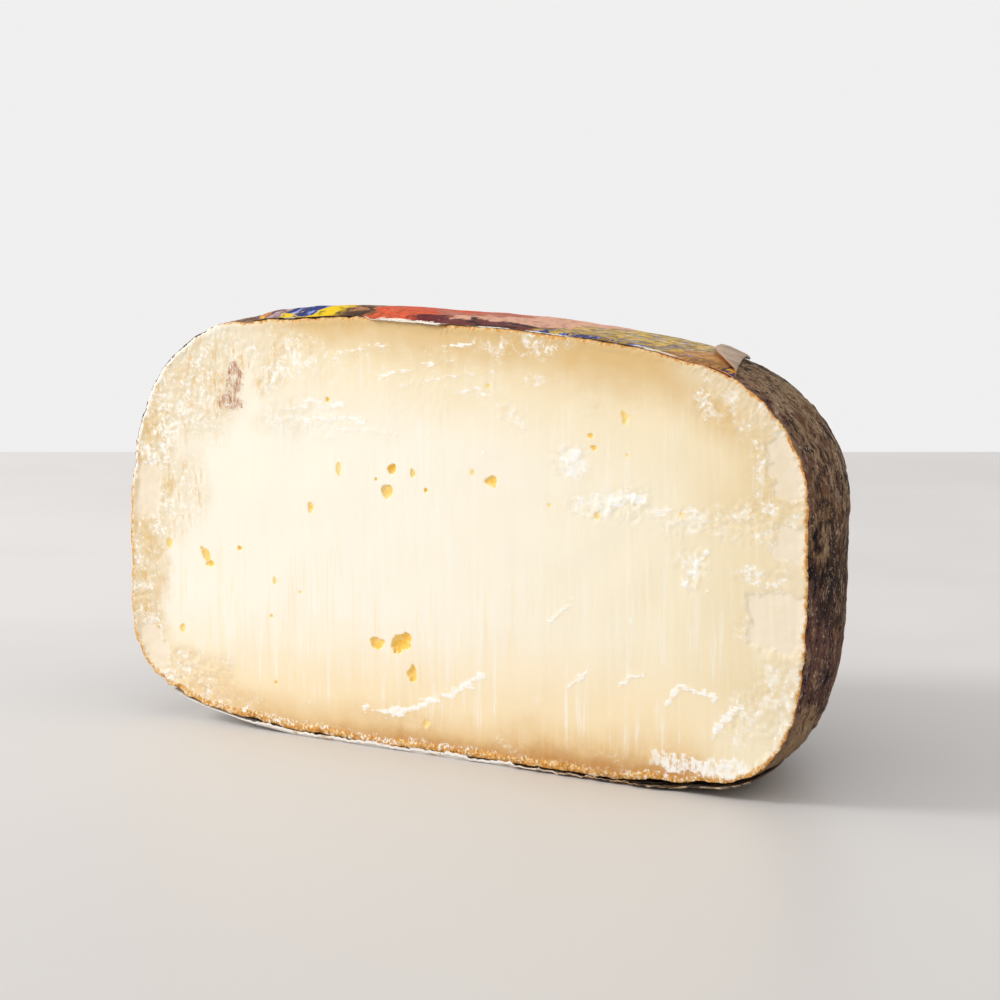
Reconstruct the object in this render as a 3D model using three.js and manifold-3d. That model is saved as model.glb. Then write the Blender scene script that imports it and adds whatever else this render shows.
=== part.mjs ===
// Half of a small natural-rind cheese wheel, resting on its flat base with the cut face upright.
// A printed paper label lies over the top and a plain paper one under the base; both are cut with the wheel.
// Millimetres, +Z up, +X along the cut face. The cut face looks towards -Y and the body stands behind it.
// The origin is the middle of the footprint, on the surface that the wheel rests on.

import * as THREE from 'three';
import { mergeVertices } from 'three/addons/utils/BufferGeometryUtils.js';
import Module from 'manifold-3d';

const wasm = await Module();
wasm.setup();

// Cheese
const wheelDiameter = 190;
const wheelHeight = 102; // at the middle of the top
const baseFlatDiameter = 100; // what bears on the table; outside it the underside curls up
const beltHeight = 41; // where the wall stands out furthest
const crownFlatDiameter = 56;
const crownRise = 5; // doming of the top from rim to middle
const underSquareness = 2.9; // corner exponents: 2 is a plain ellipse, more is squarer
const crownSquareness = 3.5;
const lean = 0.049; // sideways drift of the wall for each millimetre of height
const topTilt = 0.032; // share of the height lost at +X and gained at -X

// Paper
const paperThickness = 0.3;
const pieceGap = 0.3;
const topLabelDiameter = 131;
const topLabelOffset = 11; // the label was laid off centre, towards +X
const bottomLabelDiameter = 164;
const bottomLabelFringe = 2.5; // how far its torn cut edge stands out past the cut face

// The top label's rim at +X, folded back over itself along a crease that starts at the cut face
const creaseTurn = 0.4; // the crease's angle from +Y towards -X, in radians
const foldOpening = 1.2; // how far the folded strip stands above the label

// Facets
const roundSegments = 72;
const cornerSteps = 11;

const wheelRadius = wheelDiameter / 2;
const cheeseBottom = paperThickness + pieceGap;
const farAway = 4 * wheelDiameter;

/** A quarter of a superellipse as pairs [outwards, upwards], each from 0 to 1. */
function squareCorner(squareness) {
  const points = [];
  for (let step = 0; step <= cornerSteps; step += 1) {
    const angle = (step / cornerSteps) * (Math.PI / 2);
    points.push([Math.sin(angle) ** (2 / squareness), 1 - Math.cos(angle) ** (2 / squareness)]);
  }
  return points;
}

/** The underside and lower wall, from the middle of the base out to the belt. */
function lowerOutline() {
  const flat = baseFlatDiameter / 2;
  const corner = squareCorner(underSquareness).map(
    ([out, up]) => new THREE.Vector2(flat + (wheelRadius - flat) * out, beltHeight * up),
  );
  return [new THREE.Vector2(0, 0), ...corner];
}

/** The upper wall and top, from the belt in to the middle of the crown. */
function upperOutline() {
  const flat = crownFlatDiameter / 2;
  const rise = wheelHeight - crownRise - beltHeight;
  const corner = squareCorner(crownSquareness).map(
    ([out, up]) => new THREE.Vector2(flat + (wheelRadius - flat) * out, beltHeight + rise * (1 - up)),
  );
  return [...corner.reverse(), new THREE.Vector2(0, wheelHeight - crownRise)].map(domed);
}

/** Raises a point of the top towards the middle of the crown. */
function domed(point) {
  const inwards = 1 - (point.x / wheelRadius) ** 2;
  return new THREE.Vector2(point.x, point.y + crownRise * inwards * (point.y / wheelHeight));
}

/** The outline points raised by a height. */
function raised(points, height) {
  return points.map((point) => new THREE.Vector2(point.x, point.y + height));
}

/** Turns an outline about +Z, then lets the wheel lean and its top tilt as it did on the shelf. */
function turnedAndSettled(outline) {
  const geometry = new THREE.LatheGeometry(outline, roundSegments);
  geometry.rotateX(Math.PI / 2);
  const position = geometry.attributes.position;
  for (let index = 0; index < position.count; index += 1) {
    const x = position.getX(index);
    const z = position.getZ(index);
    position.setX(index, x + lean * (z - wheelHeight / 2));
    position.setZ(index, z * (1 - topTilt * (x / wheelRadius)));
  }
  return geometry;
}

/** A closed three.js geometry as a solid that can be joined and cut. */
function solidOf(geometry) {
  const bare = geometry.clone();
  bare.deleteAttribute('normal');
  bare.deleteAttribute('uv');
  const merged = mergeVertices(bare, 1e-4);
  const mesh = new wasm.Mesh({
    numProp: 3,
    vertProperties: new Float32Array(merged.attributes.position.array),
    triVerts: new Uint32Array(merged.index.array),
  });
  return new wasm.Manifold(mesh);
}

/** A solid as a three.js geometry again. */
function geometryOf(solid) {
  const mesh = solid.getMesh();
  const geometry = new THREE.BufferGeometry();
  geometry.setAttribute('position', new THREE.BufferAttribute(new Float32Array(mesh.vertProperties), 3));
  geometry.setIndex(new THREE.BufferAttribute(new Uint32Array(mesh.triVerts), 1));
  geometry.computeVertexNormals();
  return geometry;
}

/** Everything behind the plane y = start. */
function behind(start) {
  const block = new THREE.BoxGeometry(farAway, farAway, farAway);
  block.translate(0, start + farAway / 2, 0);
  return solidOf(block);
}

/** An upright round column, used to trim a label to its round outline. */
function column(diameter, x, y) {
  const drum = new THREE.CylinderGeometry(diameter / 2, diameter / 2, farAway, roundSegments);
  drum.rotateX(Math.PI / 2);
  drum.translate(x, y, 0);
  return solidOf(drum);
}

/** The half wheel itself: paste and rind grew as one piece. */
function cheese() {
  const outline = raised([...lowerOutline(), ...upperOutline().slice(1)], cheeseBottom);
  return solidOf(turnedAndSettled(outline)).intersect(behind(0));
}

/** A sheet over the whole top, between two heights above the cheese. */
function sheetOverTop(low, high) {
  const under = raised(upperOutline(), cheeseBottom + low).reverse();
  const over = raised(upperOutline(), cheeseBottom + high);
  return solidOf(turnedAndSettled([...under, ...over]));
}

/** Everything on the middle's side of the crease, up to a distance short of it. */
function insideCrease(distance) {
  const block = new THREE.BoxGeometry(farAway, 2 * farAway, farAway);
  block.translate(-farAway / 2 - distance, 0, 0);
  block.rotateZ(creaseTurn);
  block.translate(topLabelOffset + topLabelDiameter / 2, 0, 0);
  return solidOf(block);
}

/** The printed label: a round sheet over the top, its rim past the crease folded back above the rest. */
function topLabel() {
  const radius = topLabelDiameter / 2;
  const strip = pieceGap + paperThickness + foldOpening;
  const sheet = sheetOverTop(pieceGap, pieceGap + paperThickness);
  const raisedSheet = sheetOverTop(strip, strip + paperThickness);
  const join = sheetOverTop(pieceGap, strip + paperThickness).subtract(insideCrease(paperThickness));
  const disc = column(topLabelDiameter, topLabelOffset, 0);
  const mirrored = column(
    topLabelDiameter,
    topLabelOffset + 2 * radius * Math.cos(creaseTurn) ** 2,
    2 * radius * Math.cos(creaseTurn) * Math.sin(creaseTurn),
  );
  const flap = raisedSheet.intersect(mirrored);
  return sheet.add(join).add(flap).intersect(disc).intersect(insideCrease(0)).intersect(behind(0));
}

/** The plain label under the base: a sheet that the wheel stands on. */
function bottomLabel() {
  const under = lowerOutline();
  const over = raised(lowerOutline(), paperThickness);
  const sheet = solidOf(turnedAndSettled([...under, ...over.reverse()]));
  return sheet.intersect(column(bottomLabelDiameter, 0, 0)).intersect(behind(-bottomLabelFringe));
}

/** A named mesh with a material of its own. */
function piece(name, solid, color, roughness) {
  const material = new THREE.MeshStandardMaterial({ color, roughness, metalness: 0 });
  const mesh = new THREE.Mesh(geometryOf(solid), material);
  mesh.name = name;
  return mesh;
}

const halfWheel = new THREE.Group();
halfWheel.add(
  piece('cheese', cheese(), '#f0e3bd', 0.55),
  piece('top_label', topLabel(), '#8a5a3c', 0.7),
  piece('bottom_label', bottomLabel(), '#e9e5dc', 0.85),
);

// The footprint's middle goes to the origin.
const footprint = new THREE.Box3().setFromObject(halfWheel);
const middle = footprint.getCenter(new THREE.Vector3());
for (const mesh of halfWheel.children) {
  mesh.geometry.translate(-middle.x, -middle.y, -footprint.min.z);
}

export default halfWheel;
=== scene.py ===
"""The looks of half a small natural-rind cheese wheel: waxy paste, crusted rind and two paper labels.

Lengths are metres. +X runs along the cut, +Y from the cut into the body, +Z up from the table.
"""

import logging
import math
from dataclasses import dataclass, field
from enum import Enum
from typing import Callable, Iterable, Union

import bmesh
import bpy
from bmesh.types import BMesh, BMFace, BMVert
from mathutils import Matrix, Vector, kdtree, noise


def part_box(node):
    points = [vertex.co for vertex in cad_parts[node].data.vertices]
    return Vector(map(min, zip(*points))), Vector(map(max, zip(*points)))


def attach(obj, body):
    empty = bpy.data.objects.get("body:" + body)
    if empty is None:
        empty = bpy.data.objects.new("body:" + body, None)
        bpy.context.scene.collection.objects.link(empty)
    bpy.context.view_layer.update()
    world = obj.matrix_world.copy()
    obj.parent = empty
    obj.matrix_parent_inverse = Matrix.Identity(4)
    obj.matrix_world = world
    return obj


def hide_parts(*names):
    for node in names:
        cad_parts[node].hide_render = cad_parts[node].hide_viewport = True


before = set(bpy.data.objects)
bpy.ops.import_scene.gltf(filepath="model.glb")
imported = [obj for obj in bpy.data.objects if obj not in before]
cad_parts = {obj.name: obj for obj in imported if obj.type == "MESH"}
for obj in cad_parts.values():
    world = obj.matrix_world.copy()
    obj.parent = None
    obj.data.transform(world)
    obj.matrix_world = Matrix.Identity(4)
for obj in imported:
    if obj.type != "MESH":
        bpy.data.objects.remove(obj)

MM = 0.001
LOG = logging.getLogger("half_wheel")
CROWN_PROUD = 0.8 * MM
CRUST_ROOM = 0.4 * MM

Number = Union[int, float, "Value"]


# ---------------------------------------------------------------------------------------------
# Small helpers


def smooth_between(low: float, high: float, amount: float) -> float:
    """A soft step.

    Args:
        low: Where the step starts.
        high: Where it ends; it may be below low, for a falling step.
        amount: The number that is compared.

    Returns:
        0 before low, 1 past high, and a smooth curve between them.
    """
    share = min(1.0, max(0.0, (amount - low) / (high - low)))
    return share * share * (3.0 - 2.0 * share)


def mix_numbers(first: float, second: float, share: float) -> float:
    """The number at a share of the way from first to second."""
    return first + (second - first) * share


def paint(code: str) -> tuple[float, float, float, float]:
    """A colour for a shader.

    Args:
        code: Six hexadecimal digits after a hash sign, as on a paint card.

    Returns:
        Linear red, green, blue and an alpha of 1.
    """
    shown = [int(code[start : start + 2], 16) / 255 for start in (1, 3, 5)]
    linear = [part / 12.92 if part <= 0.04045 else ((part + 0.055) / 1.055) ** 2.4 for part in shown]
    return (*linear, 1.0)


# ---------------------------------------------------------------------------------------------
# Shader nodes


class Value:
    """A number that varies over a surface, on which ordinary arithmetic works."""

    def __init__(self, sheet: "NodeSheet", socket: bpy.types.NodeSocket) -> None:
        """Keeps the node sheet that the number belongs to and the socket it comes out of."""
        self.sheet = sheet
        self.socket = socket

    def maths(self, operation: str, *operands: Number) -> "Value":
        """A Math node.

        Args:
            operation: The Math node's operation.
            operands: Its inputs in order.

        Returns:
            What comes out of it.
        """
        node = self.sheet.node("ShaderNodeMath", {"operation": operation}, dict(enumerate(operands)))
        return Value(self.sheet, node.outputs[0])

    def __add__(self, other: Number) -> "Value":
        """self + other."""
        return self.maths("ADD", self, other)

    def __radd__(self, other: Number) -> "Value":
        """other + self."""
        return self.maths("ADD", other, self)

    def __sub__(self, other: Number) -> "Value":
        """self - other."""
        return self.maths("SUBTRACT", self, other)

    def __rsub__(self, other: Number) -> "Value":
        """other - self."""
        return self.maths("SUBTRACT", other, self)

    def __mul__(self, other: Number) -> "Value":
        """self * other."""
        return self.maths("MULTIPLY", self, other)

    def __rmul__(self, other: Number) -> "Value":
        """other * self."""
        return self.maths("MULTIPLY", other, self)

    def __pow__(self, other: Number) -> "Value":
        """self to a power."""
        return self.maths("POWER", self, other)

    def at_most(self, other: Number) -> "Value":
        """The smaller of the two."""
        return self.maths("MINIMUM", self, other)

    def at_least(self, other: Number) -> "Value":
        """The larger of the two."""
        return self.maths("MAXIMUM", self, other)

    def step(self, low: Number, high: Number) -> "Value":
        """A soft step.

        Args:
            low: Where the step starts.
            high: Where it ends.

        Returns:
            0 before low and 1 past high. A falling step is 1 - step(low, high).
        """
        node = self.sheet.node(
            "ShaderNodeMapRange",
            {"interpolation_type": "SMOOTHSTEP"},
            {"Value": self, "From Min": low, "From Max": high},
        )
        return Value(self.sheet, node.outputs["Result"])


Paint = Union[tuple[float, float, float, float], bpy.types.NodeSocket]


class NodeSheet:
    """The node sheet of one material or of the world."""

    def __init__(self, tree: bpy.types.NodeTree) -> None:
        """Empties the tree and keeps it."""
        tree.nodes.clear()
        self.tree = tree

    def node(self, kind: str, settings: dict[str, object], sockets: dict[object, object]) -> bpy.types.Node:
        """Makes any node.

        Args:
            kind: The node's type.
            settings: Its properties by name, set first.
            sockets: Its inputs by name or position: a plain value, a Value or a socket to link.

        Returns:
            The new node.
        """
        made = self.tree.nodes.new(kind)
        for name, setting in settings.items():
            setattr(made, name, setting)
        for key, given in sockets.items():
            target = made.inputs[key]
            source = given.socket if isinstance(given, Value) else given
            if isinstance(source, bpy.types.NodeSocket):
                self.tree.links.new(source, target)
            else:
                target.default_value = source
        return made

    def position(self) -> bpy.types.NodeSocket:
        """The point on the piece, in metres."""
        return self.node("ShaderNodeTexCoord", {}, {}).outputs["Object"]

    def flat_position(self, name: str) -> bpy.types.NodeSocket:
        """The point on the sheet's own flat map of that name."""
        return self.node("ShaderNodeUVMap", {"uv_map": name}, {}).outputs["UV"]

    def parts(self, vector: bpy.types.NodeSocket) -> tuple[Value, Value, Value]:
        """The three numbers of a vector."""
        split = self.node("ShaderNodeSeparateXYZ", {}, {0: vector})
        return tuple(Value(self, socket) for socket in split.outputs)

    def attribute(self, name: str) -> Value:
        """A number stored on the mesh."""
        return Value(self, self.node("ShaderNodeAttribute", {"attribute_name": name}, {}).outputs["Fac"])

    def stretched(
        self,
        vector: bpy.types.NodeSocket,
        scale: tuple[float, float, float],
        turn: tuple[float, float, float] = (0, 0, 0),
    ) -> bpy.types.NodeSocket:
        """A point scaled, then turned.

        Args:
            vector: The point.
            scale: Factor on each axis.
            turn: Rotation about each axis in radians.

        Returns:
            The changed point.
        """
        mapping = self.node("ShaderNodeMapping", {}, {"Vector": vector, "Scale": scale, "Rotation": turn})
        return mapping.outputs["Vector"]

    def cloud(
        self,
        vector: bpy.types.NodeSocket,
        grain: float,
        detail: float = 4.0,
        roughness: float = 0.55,
        distortion: float = 0.0,
    ) -> Value:
        """Cloudy noise.

        Args:
            vector: Where it is read.
            grain: Size of its largest blotches in metres.
            detail: How many finer layers it has.
            roughness: Strength of the finer layers.
            distortion: How far it is stirred.

        Returns:
            About 0.3 to 0.7, with a middle of 0.5.
        """
        settings = {
            "Vector": vector,
            "Scale": 1 / grain,
            "Detail": detail,
            "Roughness": roughness,
            "Distortion": distortion,
        }
        return Value(self, self.node("ShaderNodeTexNoise", {}, settings).outputs["Fac"])

    def mixed(self, under: Paint, over: Paint, share: Number) -> bpy.types.NodeSocket:
        """A colour laid over another.

        Args:
            under: The lower colour.
            over: The upper one.
            share: How much of the upper one shows, 0 to 1.

        Returns:
            The mixed colour.
        """
        made = self.node("ShaderNodeMix", {"data_type": "RGBA"}, {0: share, 6: under, 7: over})
        return made.outputs[2]

    def bump(self, height: Value, distance: float, strength: float) -> bpy.types.NodeSocket:
        """A normal from a height.

        Args:
            height: The height, 0 to 1.
            distance: What a height of 1 stands for, in metres.
            strength: Share of it that shows.

        Returns:
            The normal.
        """
        made = self.node("ShaderNodeBump", {}, {"Height": height, "Distance": distance, "Strength": strength})
        return made.outputs["Normal"]

    def finish(self, **sockets: object) -> None:
        """Ends the sheet in a principled surface.

        Args:
            sockets: Its inputs, with underscores for spaces.
        """
        named = {name.replace("_", " "): given for name, given in sockets.items()}
        surface = self.node("ShaderNodeBsdfPrincipled", {}, named)
        self.node("ShaderNodeOutputMaterial", {}, {"Surface": surface.outputs[0]})


def new_material(name: str) -> tuple[bpy.types.Material, NodeSheet]:
    """A material with an empty node sheet.

    Args:
        name: The material's name.

    Returns:
        The material and its sheet.
    """
    material = bpy.data.materials.new(name)
    material.use_nodes = True
    return material, NodeSheet(material.node_tree)


# ---------------------------------------------------------------------------------------------
# The wheel's shape


@dataclass(frozen=True)
class Side:
    """How the outline runs on one side of the wheel, as shares of its half length and height."""

    reach: float
    belt: float
    base_flat: float
    under_squareness: float
    crown_flat: float
    crown_squareness: float

    def toward(self, other: "Side", share: float) -> "Side":
        """The side that lies at a share of the way to another one."""
        pairs = zip(vars(self).values(), vars(other).values())
        return Side(*(mix_numbers(mine, theirs, share) for mine, theirs in pairs))


@dataclass(frozen=True)
class WheelShape:
    """The settled wheel: low and full at -X, higher-shouldered at +X, its top tilted down to +X."""

    half_length: float
    height: float
    cut_y: float
    floor_gap: float
    axis_x: float = 4.0 * MM
    low_side: Side = Side(1.034, 0.280, 0.21, 3.27, 0.05, 3.95)
    high_side: Side = Side(0.955, 0.640, 0.483, 4.15, 0.656, 2.06)
    crown_rise: float = 6.6 * MM
    lean: float = 0.013
    tilt: float = 0.0675
    back_tilt: float = 0.007
    droop: float = 0.021
    sag_depth: float = 8.0 * MM
    lift_depth: float = 25.0 * MM
    sags: tuple[tuple[float, float], ...] = (
        (-66, 0.0),
        (-52, 1.9),
        (-43, 2.2),
        (-30, 1.9),
        (-20, 1.3),
        (-4, 1.1),
        (8, 0.9),
        (18, 0.7),
        (32, 0.3),
        (44, -0.5),
        (55, -0.6),
        (66, -0.1),
        (72, 0.1),
        (80, 0.0),
    )
    lifts: tuple[tuple[float, float], ...] = (
        (48, 0.0),
        (60, 0.5),
        (69, 1.4),
        (78, 0.8),
        (86, 0.2),
        (93, 0.0),
    )

    def side_at(self, turn: float) -> Side:
        """The outline's side at an angle about the axis, 0 at +X and pi at -X."""
        return self.low_side.toward(self.high_side, (1 + math.cos(turn)) / 2)

    def outline(self, side: Side, station: float) -> tuple[float, float]:
        """A point of one side's outline.

        Args:
            side: The side.
            station: 0 to 1 along the flat base, to 2 round the underside's corner, to 3 round the
                shoulder, and to 4 along the crown.

        Returns:
            Distance from the axis and height.
        """
        reach = side.reach * self.half_length
        belt = side.belt * self.height
        shoulder = self.height - self.crown_rise
        base_flat = side.base_flat * self.half_length
        crown_flat = side.crown_flat * self.half_length
        angle = (station % 1.0) * math.pi / 2
        across, along = math.sin(angle), math.cos(angle)
        if station < 1:
            radius, level = base_flat * station, 0.0
        elif station < 2:
            power = side.under_squareness
            size = (across**power + along**power) ** (1 / power)
            radius, level = base_flat + (reach - base_flat) * across / size, belt * (1 - along / size)
        elif station < 3:
            power = side.crown_squareness
            size = (across**power + along**power) ** (1 / power)
            radius = crown_flat + (reach - crown_flat) * along / size
            level = belt + (shoulder - belt) * across / size
        else:
            radius, level = crown_flat * (4 - station), shoulder
        dome = self.crown_rise * (1 - (radius / reach) ** 2) * level / self.height
        return radius, level + dome

    def point(self, station: float, turn: float) -> Vector:
        """The place of an outline point at an angle about the axis.

        Args:
            station: 0 at the middle of the base to 4 at the middle of the crown.
            turn: The angle about the axis, 0 at +X.

        Returns:
            The point.
        """
        radius, level = self.outline(self.side_at(turn), station)
        x, y = radius * math.cos(turn), radius * math.sin(turn)
        return Vector(
            (
                self.axis_x + x + self.lean * (level - self.height / 2),
                self.cut_y + y,
                self.floor_gap + self.settled(level, x, y),
            )
        )

    def settled(self, level: float, x: float, y: float) -> float:
        """A height after the top has tilted, sunk beside the cut and drooped at the far side.

        Args:
            level: The height before that.
            x: Distance from the axis along the cut.
            y: Distance behind the cut.

        Returns:
            The settled height.
        """
        along = (x + self.axis_x) / MM
        tilted = self.tilt * x + self.back_tilt * y + self.droop * y * (0.5 + 0.5 * x / self.half_length)
        top = smooth_between(0.72, 0.95, level / self.height)
        sag = top * self.along_cut(self.sags, along) * smooth_between(self.sag_depth, 0.0, y)
        low = smooth_between(0.14, 0.02, level / self.height)
        lift = low * self.along_cut(self.lifts, along) * smooth_between(self.lift_depth, 0.0, y)
        return level * (1 - tilted / self.half_length) + (lift - sag) * MM

    @staticmethod
    def along_cut(table: tuple[tuple[float, float], ...], along: float) -> float:
        """Reads a smooth line through a few places along the cut, 0 outside them.

        Args:
            table: Places along the cut in order, each with the line's height there, in millimetres.
            along: Where it is read, in millimetres.

        Returns:
            The line's height there.
        """
        for (start, low), (end, high) in zip(table, table[1:]):
            if start <= along < end:
                return mix_numbers(low, high, smooth_between(start, end, along))
        return 0.0

    def stations(self, start: float, end: float, spacing: float) -> list[float]:
        """Evenly spaced stations along the outline.

        Args:
            start: First station.
            end: Last station.
            spacing: Distance wanted between them.

        Returns:
            The stations, both ends among them.
        """
        side = self.side_at(math.pi / 2)
        fine = [mix_numbers(start, end, step / 2000) for step in range(2001)]
        places = [self.outline(side, min(station, 3.999999)) for station in fine]
        run = [0.0]
        for before, after in zip(places, places[1:]):
            run.append(run[-1] + math.dist(before, after))
        count = round(run[-1] / spacing)
        chosen, reached = [start], 0
        for step in range(1, count):
            wanted = run[-1] * step / count
            while run[reached] < wanted:
                reached += 1
            share = (wanted - run[reached - 1]) / (run[reached] - run[reached - 1])
            chosen.append(mix_numbers(fine[reached - 1], fine[reached], share))
        return [*chosen, end]

    def sheet_height(self, x: float, y: float, over_top: bool) -> float:
        """Height of the wheel's top or underside over a point of the table.

        Args:
            x: The point's X.
            y: The point's Y.
            over_top: Whether the top is asked for.

        Returns:
            The height above the table.
        """
        level = self.height if over_top else 0.0
        for _ in range(3):
            away_x = x - self.axis_x - self.lean * (level - self.height / 2)
            away_y = y - self.cut_y
            radius = math.hypot(away_x, away_y)
            side = self.side_at(math.atan2(away_y, away_x))
            reach, belt = side.reach * self.half_length, side.belt * self.height
            flat = (side.crown_flat if over_top else side.base_flat) * self.half_length
            power = side.crown_squareness if over_top else side.under_squareness
            out = min(1.0, max(0.0, radius - flat) / (reach - flat))
            rise = (1 - out**power) ** (1 / power)
            level = belt + (self.height - self.crown_rise - belt) * rise if over_top else belt * (1 - rise)
            level += self.crown_rise * max(0.0, 1 - (radius / reach) ** 2) * level / self.height
        return self.floor_gap + self.settled(level, away_x, away_y)


# ---------------------------------------------------------------------------------------------
# What the knife and time left in the cut face


@dataclass(frozen=True)
class Patch:
    """A soft-edged oval on the cut face, in millimetres from the wheel's middle and the table."""

    x: float
    z: float
    half_width: float
    half_height: float
    strength: float = 1.0

    def cover(self, x: float, z: float, softness: float = 0.5) -> float:
        """How much of the patch there is at a point, 0 to its strength."""
        away = math.hypot((x - self.x) / self.half_width, (z - self.z) / self.half_height)
        return self.strength * smooth_between(1.0 + softness, 1.0 - softness, away)


@dataclass(frozen=True)
class Eye:
    """A small hollow in the paste that the knife has opened, in millimetres."""

    x: float
    z: float
    width: float
    height: float
    depth: float = 0.55
    turn: float = 0.0

    def away(self, x: float, z: float) -> float:
        """Distance from the hollow's middle, 1 at its ragged rim.

        Args:
            x: Millimetres along the cut.
            z: Millimetres above the marks' base.

        Returns:
            The distance, as a share of the way to the rim.
        """
        sine, cosine = math.sin(self.turn), math.cos(self.turn)
        along = ((x - self.x) * cosine + (z - self.z) * sine) * 2 / self.width
        across = ((z - self.z) * cosine - (x - self.x) * sine) * 2 / self.height
        ragged = noise.noise(Vector((x * 0.55 + self.x, z * 0.55, self.z)))
        ragged += 0.35 * noise.noise(Vector((x * 1.5, z * 1.5, self.x)))
        corners = (self.x * 2.3 + third * math.tau / 3 for third in range(3))
        pointed = max(along * math.cos(corner) + across * math.sin(corner) for corner in corners)
        return 0.72 * math.hypot(along, across) + 0.46 * pointed + 0.42 * ragged


@dataclass(frozen=True)
class Stroke:
    """A torn line that the knife dragged across the paste, in millimetres."""

    points: tuple[tuple[float, float], ...]
    width: float
    strength: float = 1.0

    def cover(self, x: float, z: float) -> float:
        """How much of the stroke there is at a point, 0 to 1.

        Args:
            x: Millimetres along the cut.
            z: Millimetres above the marks' base.

        Returns:
            The share.
        """
        x += 0.8 * noise.noise(Vector((x * 0.5, z * 0.5, 3.0)))
        z += 0.8 * noise.noise(Vector((x * 0.5, z * 0.5, 8.0)))
        nearest = min(self.leg_distance(x, z, start, end) for start, end in zip(self.points, self.points[1:]))
        ragged = self.width * (0.75 + 0.9 * noise.noise(Vector((x * 0.7, z * 0.7, 1.0))))
        return self.strength * smooth_between(ragged, ragged * 0.3, nearest)

    @staticmethod
    def leg_distance(x: float, z: float, start: tuple[float, float], end: tuple[float, float]) -> float:
        """Distance from a point to one straight leg of the stroke.

        Args:
            x: Millimetres along the cut.
            z: Millimetres above the marks' base.
            start: The leg's first end.
            end: Its other end.

        Returns:
            The distance in millimetres.
        """
        leg_x, leg_z = end[0] - start[0], end[1] - start[1]
        share = ((x - start[0]) * leg_x + (z - start[1]) * leg_z) / (leg_x**2 + leg_z**2)
        share = min(1.0, max(0.0, share))
        return math.hypot(x - start[0] - share * leg_x, z - start[1] - share * leg_z)


@dataclass(frozen=True)
class Chip:
    """A flat place where a thin slice of paste has split off, with a ragged edge, in millimetres."""

    x: float
    z: float
    half_width: float
    half_height: float
    turn: float = 0.0
    depth: float = 0.45

    def cover(self, x: float, z: float) -> float:
        """How much of the chip there is at a point, 0 to 1.

        Args:
            x: Millimetres along the cut.
            z: Millimetres above the marks' base.

        Returns:
            The share.
        """
        sine, cosine = math.sin(self.turn), math.cos(self.turn)
        along = abs((x - self.x) * cosine + (z - self.z) * sine) / self.half_width
        across = abs((z - self.z) * cosine - (x - self.x) * sine) / self.half_height
        away = (along**4 + across**4) ** 0.25
        away += 0.34 * noise.noise(Vector((x * 0.3, z * 0.3, self.x)))
        away += 0.16 * noise.noise(Vector((x * 1.0, z * 1.0, self.z)))
        return smooth_between(1.14, 0.94, away)


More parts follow.
